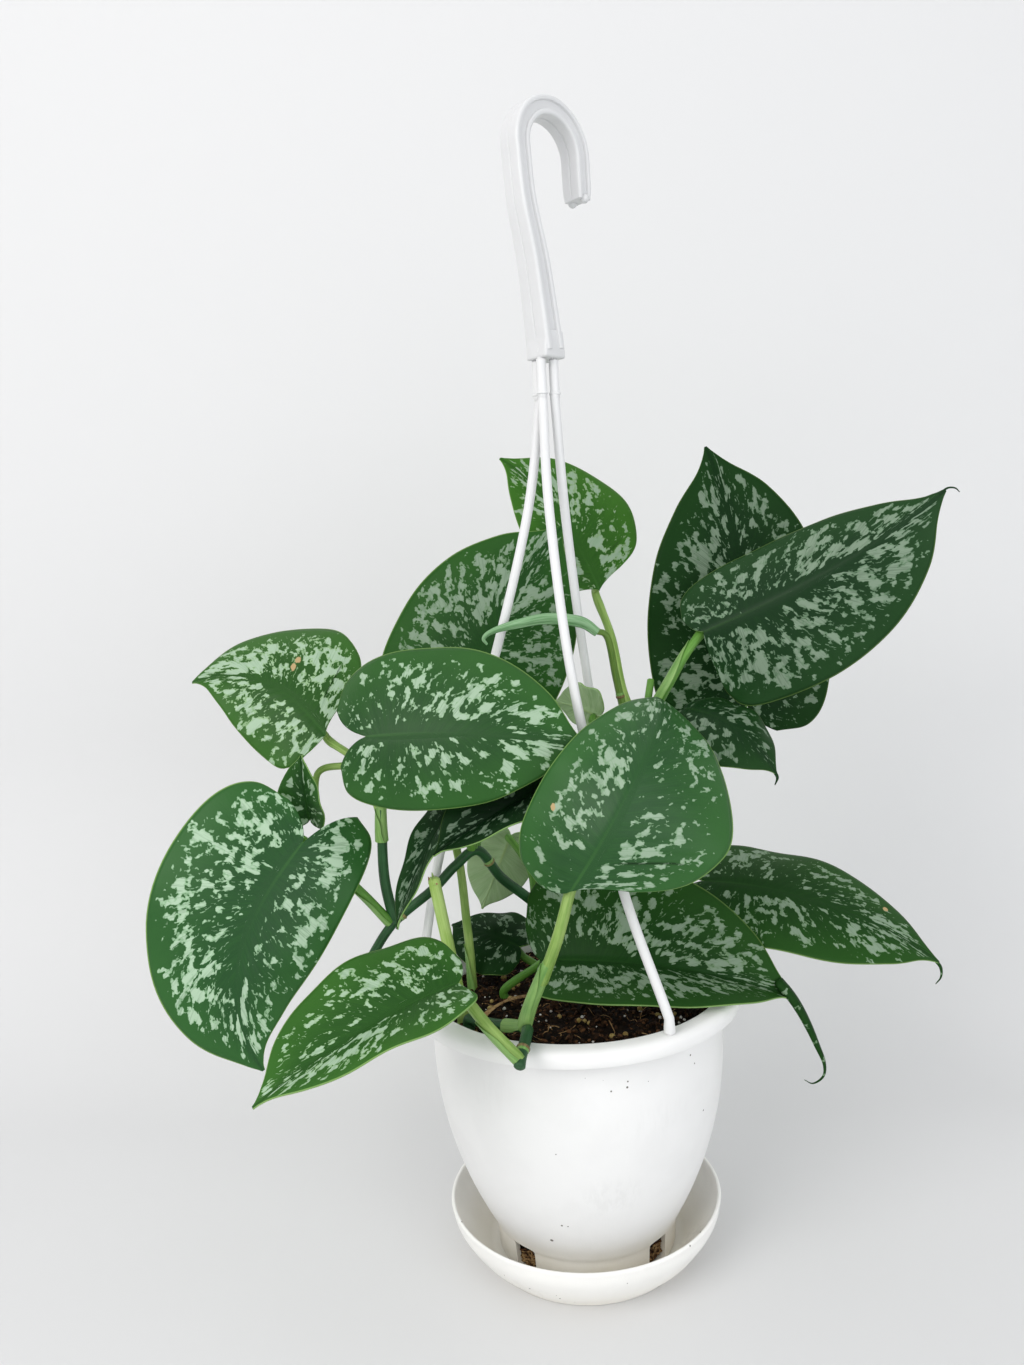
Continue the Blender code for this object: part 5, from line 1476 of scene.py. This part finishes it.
def combineShapes(target, others, operation):
    # applies a Boolean with each of the other shapes, and removes them
    for other in others:
        step = target.modifiers.new("shape", "BOOLEAN")
        step.operation = operation
        step.solver = "EXACT"
        step.object = other
        bpy.context.view_layer.update()
        graph = bpy.context.evaluated_depsgraph_get()
        mesh = bpy.data.meshes.new_from_object(target.evaluated_get(graph))
        target.modifiers.clear()
        target.data = mesh
        bpy.data.objects.remove(other)
    target.data.shade_smooth()
    target.data.set_sharp_from_angle(angle=math.radians(35))


def arcPoints(centre, radius, fromAngle, toAngle, steps):
    return [(centre[0] + radius * math.cos(a), centre[1] + radius * math.sin(a))
            for a in np.linspace(math.radians(fromAngle), math.radians(toAngle), steps)]


def potProfile():
    shape = potShape
    shares = np.linspace(0, 1, shape["bodyRings"])
    top, lip, wall, foot = shape["height"], shape["lipRadius"], shape["wall"], shape["footRadius"]
    lipBottom, floor = top - shape["lipHeight"], shape["base"] + shape["floor"]
    return [
        (0.0, floor), (foot - 0.0034, floor), (foot - 0.0028, floor + 0.0004),
        (foot - wall + 0.0008, shape["footTop"]),
        *bodyCurve(wall, shares),
        (0.0704, 0.1300), (0.0706, 0.1325), (0.0711, top - 0.0012),
        *arcPoints((0.0722, top - 0.0011), 0.0011, 165, 90, 5),
        (0.0762, top - 0.0001),
        *arcPoints((lip - 0.0036, top - 0.0038), 0.0036, 75, 8, 8),
        (lip, lipBottom + 0.0006), (lip - 0.0003, lipBottom + 0.0001), (lip - shape["lipWall"], lipBottom),
        (lip - shape["lipWall"] - 0.0001, top - 0.0040), (0.0765, top - 0.0021), (0.0735, top - 0.0022),
        (0.0724, top - 0.0030), (0.0722, 0.1310), (0.0712, 0.1290),
        *reversed(bodyCurve(0.0, shares)),
        (foot + 0.0026, shape["footTop"] + 0.0008), (foot + 0.0018, shape["footTop"] - 0.0002),
        (foot + 0.0012, shape["footTop"] - 0.0012), (foot + 0.0009, shape["footTop"] - 0.0030),
        (foot + 0.0002, shape["base"] + 0.0010), (foot - 0.0004, shape["base"] + 0.0002),
        (foot - 0.0010, shape["base"]), (0.0, shape["base"]),
    ]


def strandFoot(strand):
    angle = math.radians(strand["footAngle"])
    return strandShape["holeCircle"] * math.cos(angle), strandShape["holeCircle"] * math.sin(angle)


def makePot(material):
    shape = potShape
    pot = turnedObject("potBody", potProfile(), shape["steps"], [material])
    cutters = []
    low = shape["base"] + shape["floor"] + 0.0004
    for i in range(shape["notches"]):
        angle = math.radians(shape["notchAngle"]) + i * 2 * math.pi / shape["notches"]
        centre = (shape["footRadius"] * math.cos(angle), shape["footRadius"] * math.sin(angle),
                  (shape["notchTop"] + low) / 2)
        size = (0.012, shape["notchWidth"], shape["notchTop"] - low)
        cutters.append(boxObject("notch", size, centre, angle, 0.0012))
    for strand in strands.values():
        x, y = strandFoot(strand)
        cutters.append(barObject("rimHole", x, y, shape["height"] - 0.004, shape["height"] + 0.004,
                                 shape["holeRadius"]))
    combineShapes(pot, cutters, "DIFFERENCE")
    tab = shape["tab"]
    angle = math.radians(tab["angle"])
    middle = (tab["low"] + tab["high"]) / 2
    reach = bodyRadius((middle - shape["footTop"]) / (shape["bodyTop"] - shape["footTop"]))
    rib = boxObject("rimTab", (2 * tab["reach"], tab["width"], tab["high"] - tab["low"]),
                    (reach * math.cos(angle), reach * math.sin(angle), middle), angle, 0.0002)
    rib.data.materials.append(material)
    combineShapes(pot, [rib], "UNION")
    place(pot, "pot", slot="white_plastic")


saucerShape = {
    "rimRadius": 0.0673, "height": 0.0280, "footRadius": 0.0500, "wall": 0.0018, "floor": 0.0030,
    "footRise": 0.0024, "steps": 192,
}


def makeSaucer(material):
    shape = saucerShape
    rim, foot, wall, height = shape["rimRadius"], shape["footRadius"], shape["wall"], shape["height"]
    half = wall / 2
    inside = smoothRoute([(foot - 0.001, shape["floor"] + 0.001), (foot + 0.006, 0.010),
                          (rim - wall - 0.0025, 0.020), (rim - wall, height - half)], 8)
    outside = smoothRoute([(rim, height - half), (rim - 0.0020, 0.0195), (foot + 0.0080, 0.0085),
                           (foot + 0.0020, shape["floor"])], 8)
    profile = [(0.0, shape["floor"]), (foot - 0.010, shape["floor"]), (foot - 0.004, shape["floor"]),
               (foot - 0.0024, shape["floor"] + 0.0003), *[tuple(p) for p in inside],
               *arcPoints((rim - half, height - half), half, 160, 20, 9),
               *[tuple(p) for p in outside],
               (foot + 0.0010, shape["footRise"]), (foot + 0.0004, 0.0008), (foot - 0.0002, 0.0002),
               (foot - 0.0008, 0.0), (0.0, 0.0)]
    saucer = turnedObject("saucerDish", profile, shape["steps"], [material])
    place(saucer, "saucer", slot="white_plastic")


hookShape = {
    "turn": 45, "base": 0.4340, "archCentre": (0.0078, 0.0934), "archRadius": 0.0194,
    "stem": [(0.0012, 0.004), (-0.0037, 0.042), (-0.0095, 0.069)], "armEnd": (0.0276, 0.076),
    "width": 0.0128, "depth": 0.0096, "flange": 0.0022, "recess": 0.0017, "corner": 0.0012,
    "seam": 0.00045, "thick": 1.15, "thin": 0.90, "thinFrom": 0.42,
    "claspSize": (0.0134, 0.0132, 0.0126), "claspOffset": 0.0012, "claspTopShare": 0.84,
    "claspStraight": 0.35,
    "nubRadius": 0.0022, "socketDepth": 0.0050, "socketRadius": 0.0020,
}


def hookSection():
    # half widths a (in the hook's plane) and b (across it), with round corners, a seam and side recesses
    shape = hookShape
    x, y, corner = shape["depth"] / 2, shape["width"] / 2, shape["corner"]
    quarter = [(x - shape["seam"], 0.0), (x, shape["seam"] * 1.3), (x, y / 2)]
    quarter += arcPoints((x - corner, y - corner), corner, 0, 90, 5)
    quarter += [(x - shape["flange"], y), (x - shape["flange"] - 0.0003, y - 0.0002),
                (x - shape["flange"] - 0.0006, y - shape["recess"] + 0.0002),
                (x - shape["flange"] - 0.0010, y - shape["recess"])]
    half = quarter + [(-a, b) for a, b in reversed(quarter)]
    return np.array(half + [(a, -b) for a, b in reversed(half[1:-1])])


def makeClasp():
    # the square block under the hook, which narrows towards its top
    width, depth, height = hookShape["claspSize"]
    offset, straight = hookShape["claspOffset"], hookShape["claspStraight"]
    clasp = boxObject("clasp", (width, height, depth), (offset, height / 2, 0.0), 0.0, 0.0011)
    for vertex in clasp.data.vertices:
        share = max(0.0, vertex.co.y / height - straight) / (1 - straight)
        narrow = 1 - (1 - hookShape["claspTopShare"]) * min(1.0, share)
        vertex.co.x = offset + (vertex.co.x - offset) * narrow
    return clasp


def makeNub(side):
    # one of the two round nubs at the end of the hook's arm
    x, y = hookShape["armEnd"]
    nub = bmesh.new()
    bmesh.ops.create_uvsphere(nub, u_segments=20, v_segments=12, radius=hookShape["nubRadius"])
    middle = Vector((x + 0.0006, y + 0.0004, side * hookShape["width"] * 0.30))
    bmesh.ops.translate(nub, vec=middle, verts=nub.verts)
    return objectFrom("nub", nub)


def makeHook(material):
    shape = hookShape
    cx, cz = shape["archCentre"]
    arch = [(cx - shape["archRadius"] * math.cos(t), cz + shape["archRadius"] * math.sin(t), 0.0)
            for t in np.linspace(0, math.pi, 45)]
    stem = smoothRoute([(x, y, 0.0) for x, y in shape["stem"]] + arch[:1], 14)
    arm = [np.array((*point, 0.0)) for point in np.linspace(arch[-1][:2], shape["armEnd"], 7)[1:]]
    route = np.array([*stem[:-1], *arch, *arm])
    walked = routeLengths(route)
    shares = walked / walked[-1]
    radii = shape["thick"] + (shape["thin"] - shape["thick"]) * np.clip(shares / shape["thinFrom"], 0, 1)
    radii[-3:] *= (1.0, 0.97, 0.90)
    parts = newParts()
    addSweep(parts, route, radii, hookSection(), 0, across=(0.0, 0.0, 1.0), dome=False)
    hook = partsObject("hangingHook", parts, [material], 35)
    joined = [makeClasp(), makeNub(-1), makeNub(1)]
    upright = Matrix.Rotation(math.radians(shape["turn"]), 4, "Z") @ Matrix.Rotation(math.radians(90), 4, "X")
    for piece in (hook, *joined):
        piece.data.transform(Matrix.Translation((0, 0, shape["base"])) @ upright)
    for piece in joined:
        piece.data.materials.append(material)
    combineShapes(hook, joined, "UNION")
    sockets = [barObject("socket", *strand["route"][0][:2], shape["base"] - 0.006,
                         shape["base"] + shape["socketDepth"], shape["socketRadius"])
               for strand in strands.values()]
    combineShapes(hook, sockets, "DIFFERENCE")
    place(hook, "hook", slot="white_plastic")


strandShape = {
    "radius": 0.00225, "neck": 0.0017, "ringHeight": 0.418, "holeCircle": 0.0755, "knob": 0.0023,
    "socket": 0.0046, "collar": 1.00, "ringMark": 1.20, "footSwell": 1.12, "sides": 18,
}
strands = {
    "strand_front": dict(
        footAngle=-58.4,
        route=[(-0.0016, -0.0036, 0.412), (-0.0010, -0.0060, 0.362), (0.0058, -0.0240, 0.285),
               (0.0218, -0.0450, 0.200)]),
    "strand_left": dict(
        footAngle=182.0,
        route=[(-0.0036, 0.0018, 0.412), (-0.0120, 0.0025, 0.362), (-0.0330, 0.0030, 0.290),
               (-0.0620, 0.0010, 0.205)]),
    "strand_back": dict(
        footAngle=62.0,
        route=[(0.0042, 0.0010, 0.412), (0.0065, 0.0090, 0.362), (0.0130, 0.0280, 0.290),
               (0.0240, 0.0480, 0.205)]),
}


def makeStrand(name, strand, material):
    shape = strandShape
    x, y = strandFoot(strand)
    topX, topY, _ = strand["route"][0]
    radius, rim, ring = shape["radius"], potShape["height"], shape["ringHeight"]
    shoulder = hookShape["base"] - 0.0003
    head = [(shoulder + shape["socket"], shape["neck"]), (shoulder + 0.0001, shape["neck"]),
            (shoulder - 0.0001, radius * shape["collar"]), (ring + 0.0011, radius * shape["collar"]),
            (ring + 0.0008, radius * shape["ringMark"]), (ring, radius * shape["ringMark"]),
            (ring - 0.0003, radius)]
    route = smoothRoute([(topX, topY, ring - 0.001), *strand["route"], (x, y, rim + 0.0065)], 16)
    tail = [(rim + 0.0045, radius * 1.02), (rim + 0.0030, radius * shape["footSwell"]),
            (rim + 0.0005, radius * shape["footSwell"]), (rim + 0.0003, shape["neck"]),
            (rim - 0.0036, shape["neck"]), (rim - 0.0038, shape["knob"]), (rim - 0.0062, shape["knob"] * 0.8)]
    points = [(topX, topY, z) for z, _ in head] + [tuple(p) for p in route] + [(x, y, z) for z, _ in tail]
    radii = [r for _, r in head] + [radius] * len(route) + [r for _, r in tail]
    parts = newParts()
    addSweep(parts, points, radii, roundSection(shape["sides"]), 0)
    place(partsObject(name + "_cord", parts, [material], 40), name, slot="white_plastic")


# Everything in its place

underMaterial = makeUnderMaterial()
edgeMaterial = makeEdgeMaterial()
for leafName, leafLook in leafLooks.items():
    upperMaterial = makeUpperMaterial(leafName, leafLook)
    bladePiece = makeBladeMesh(leafName, leafBlades[leafName], [upperMaterial, underMaterial, edgeMaterial])
    place(bladePiece, leafName, slot="green_leaf")
    if leafName in tipCurls:
        # the curl keeps its leaf's colours and painted light and shade factors, with less silver
        curlMaterial = makeUpperMaterial(leafName + "Curl", dict(leafLook, cover=-0.05))
        place(makeTipCurl(leafName, tipCurls[leafName], curlMaterial), slot="green_leaf")
makeRolledLeaf()
print("leaves are made")
for vineName, vineStems in stems.items():
    makeVine(vineName, vineStems)
print("stems and stalks are made")
makeSoil()
print("potting mix is made")
plastics = {name: makePlasticMaterial(name, look) for name, look in plasticLooks.items()}
makePot(plastics["pot"])
makeSaucer(plastics["saucer"])
makeHook(plastics["hook"])
for strandName, strand in strands.items():
    makeStrand(strandName, strand, plastics["strand"])
print("pot, saucer, hook and strands are made")
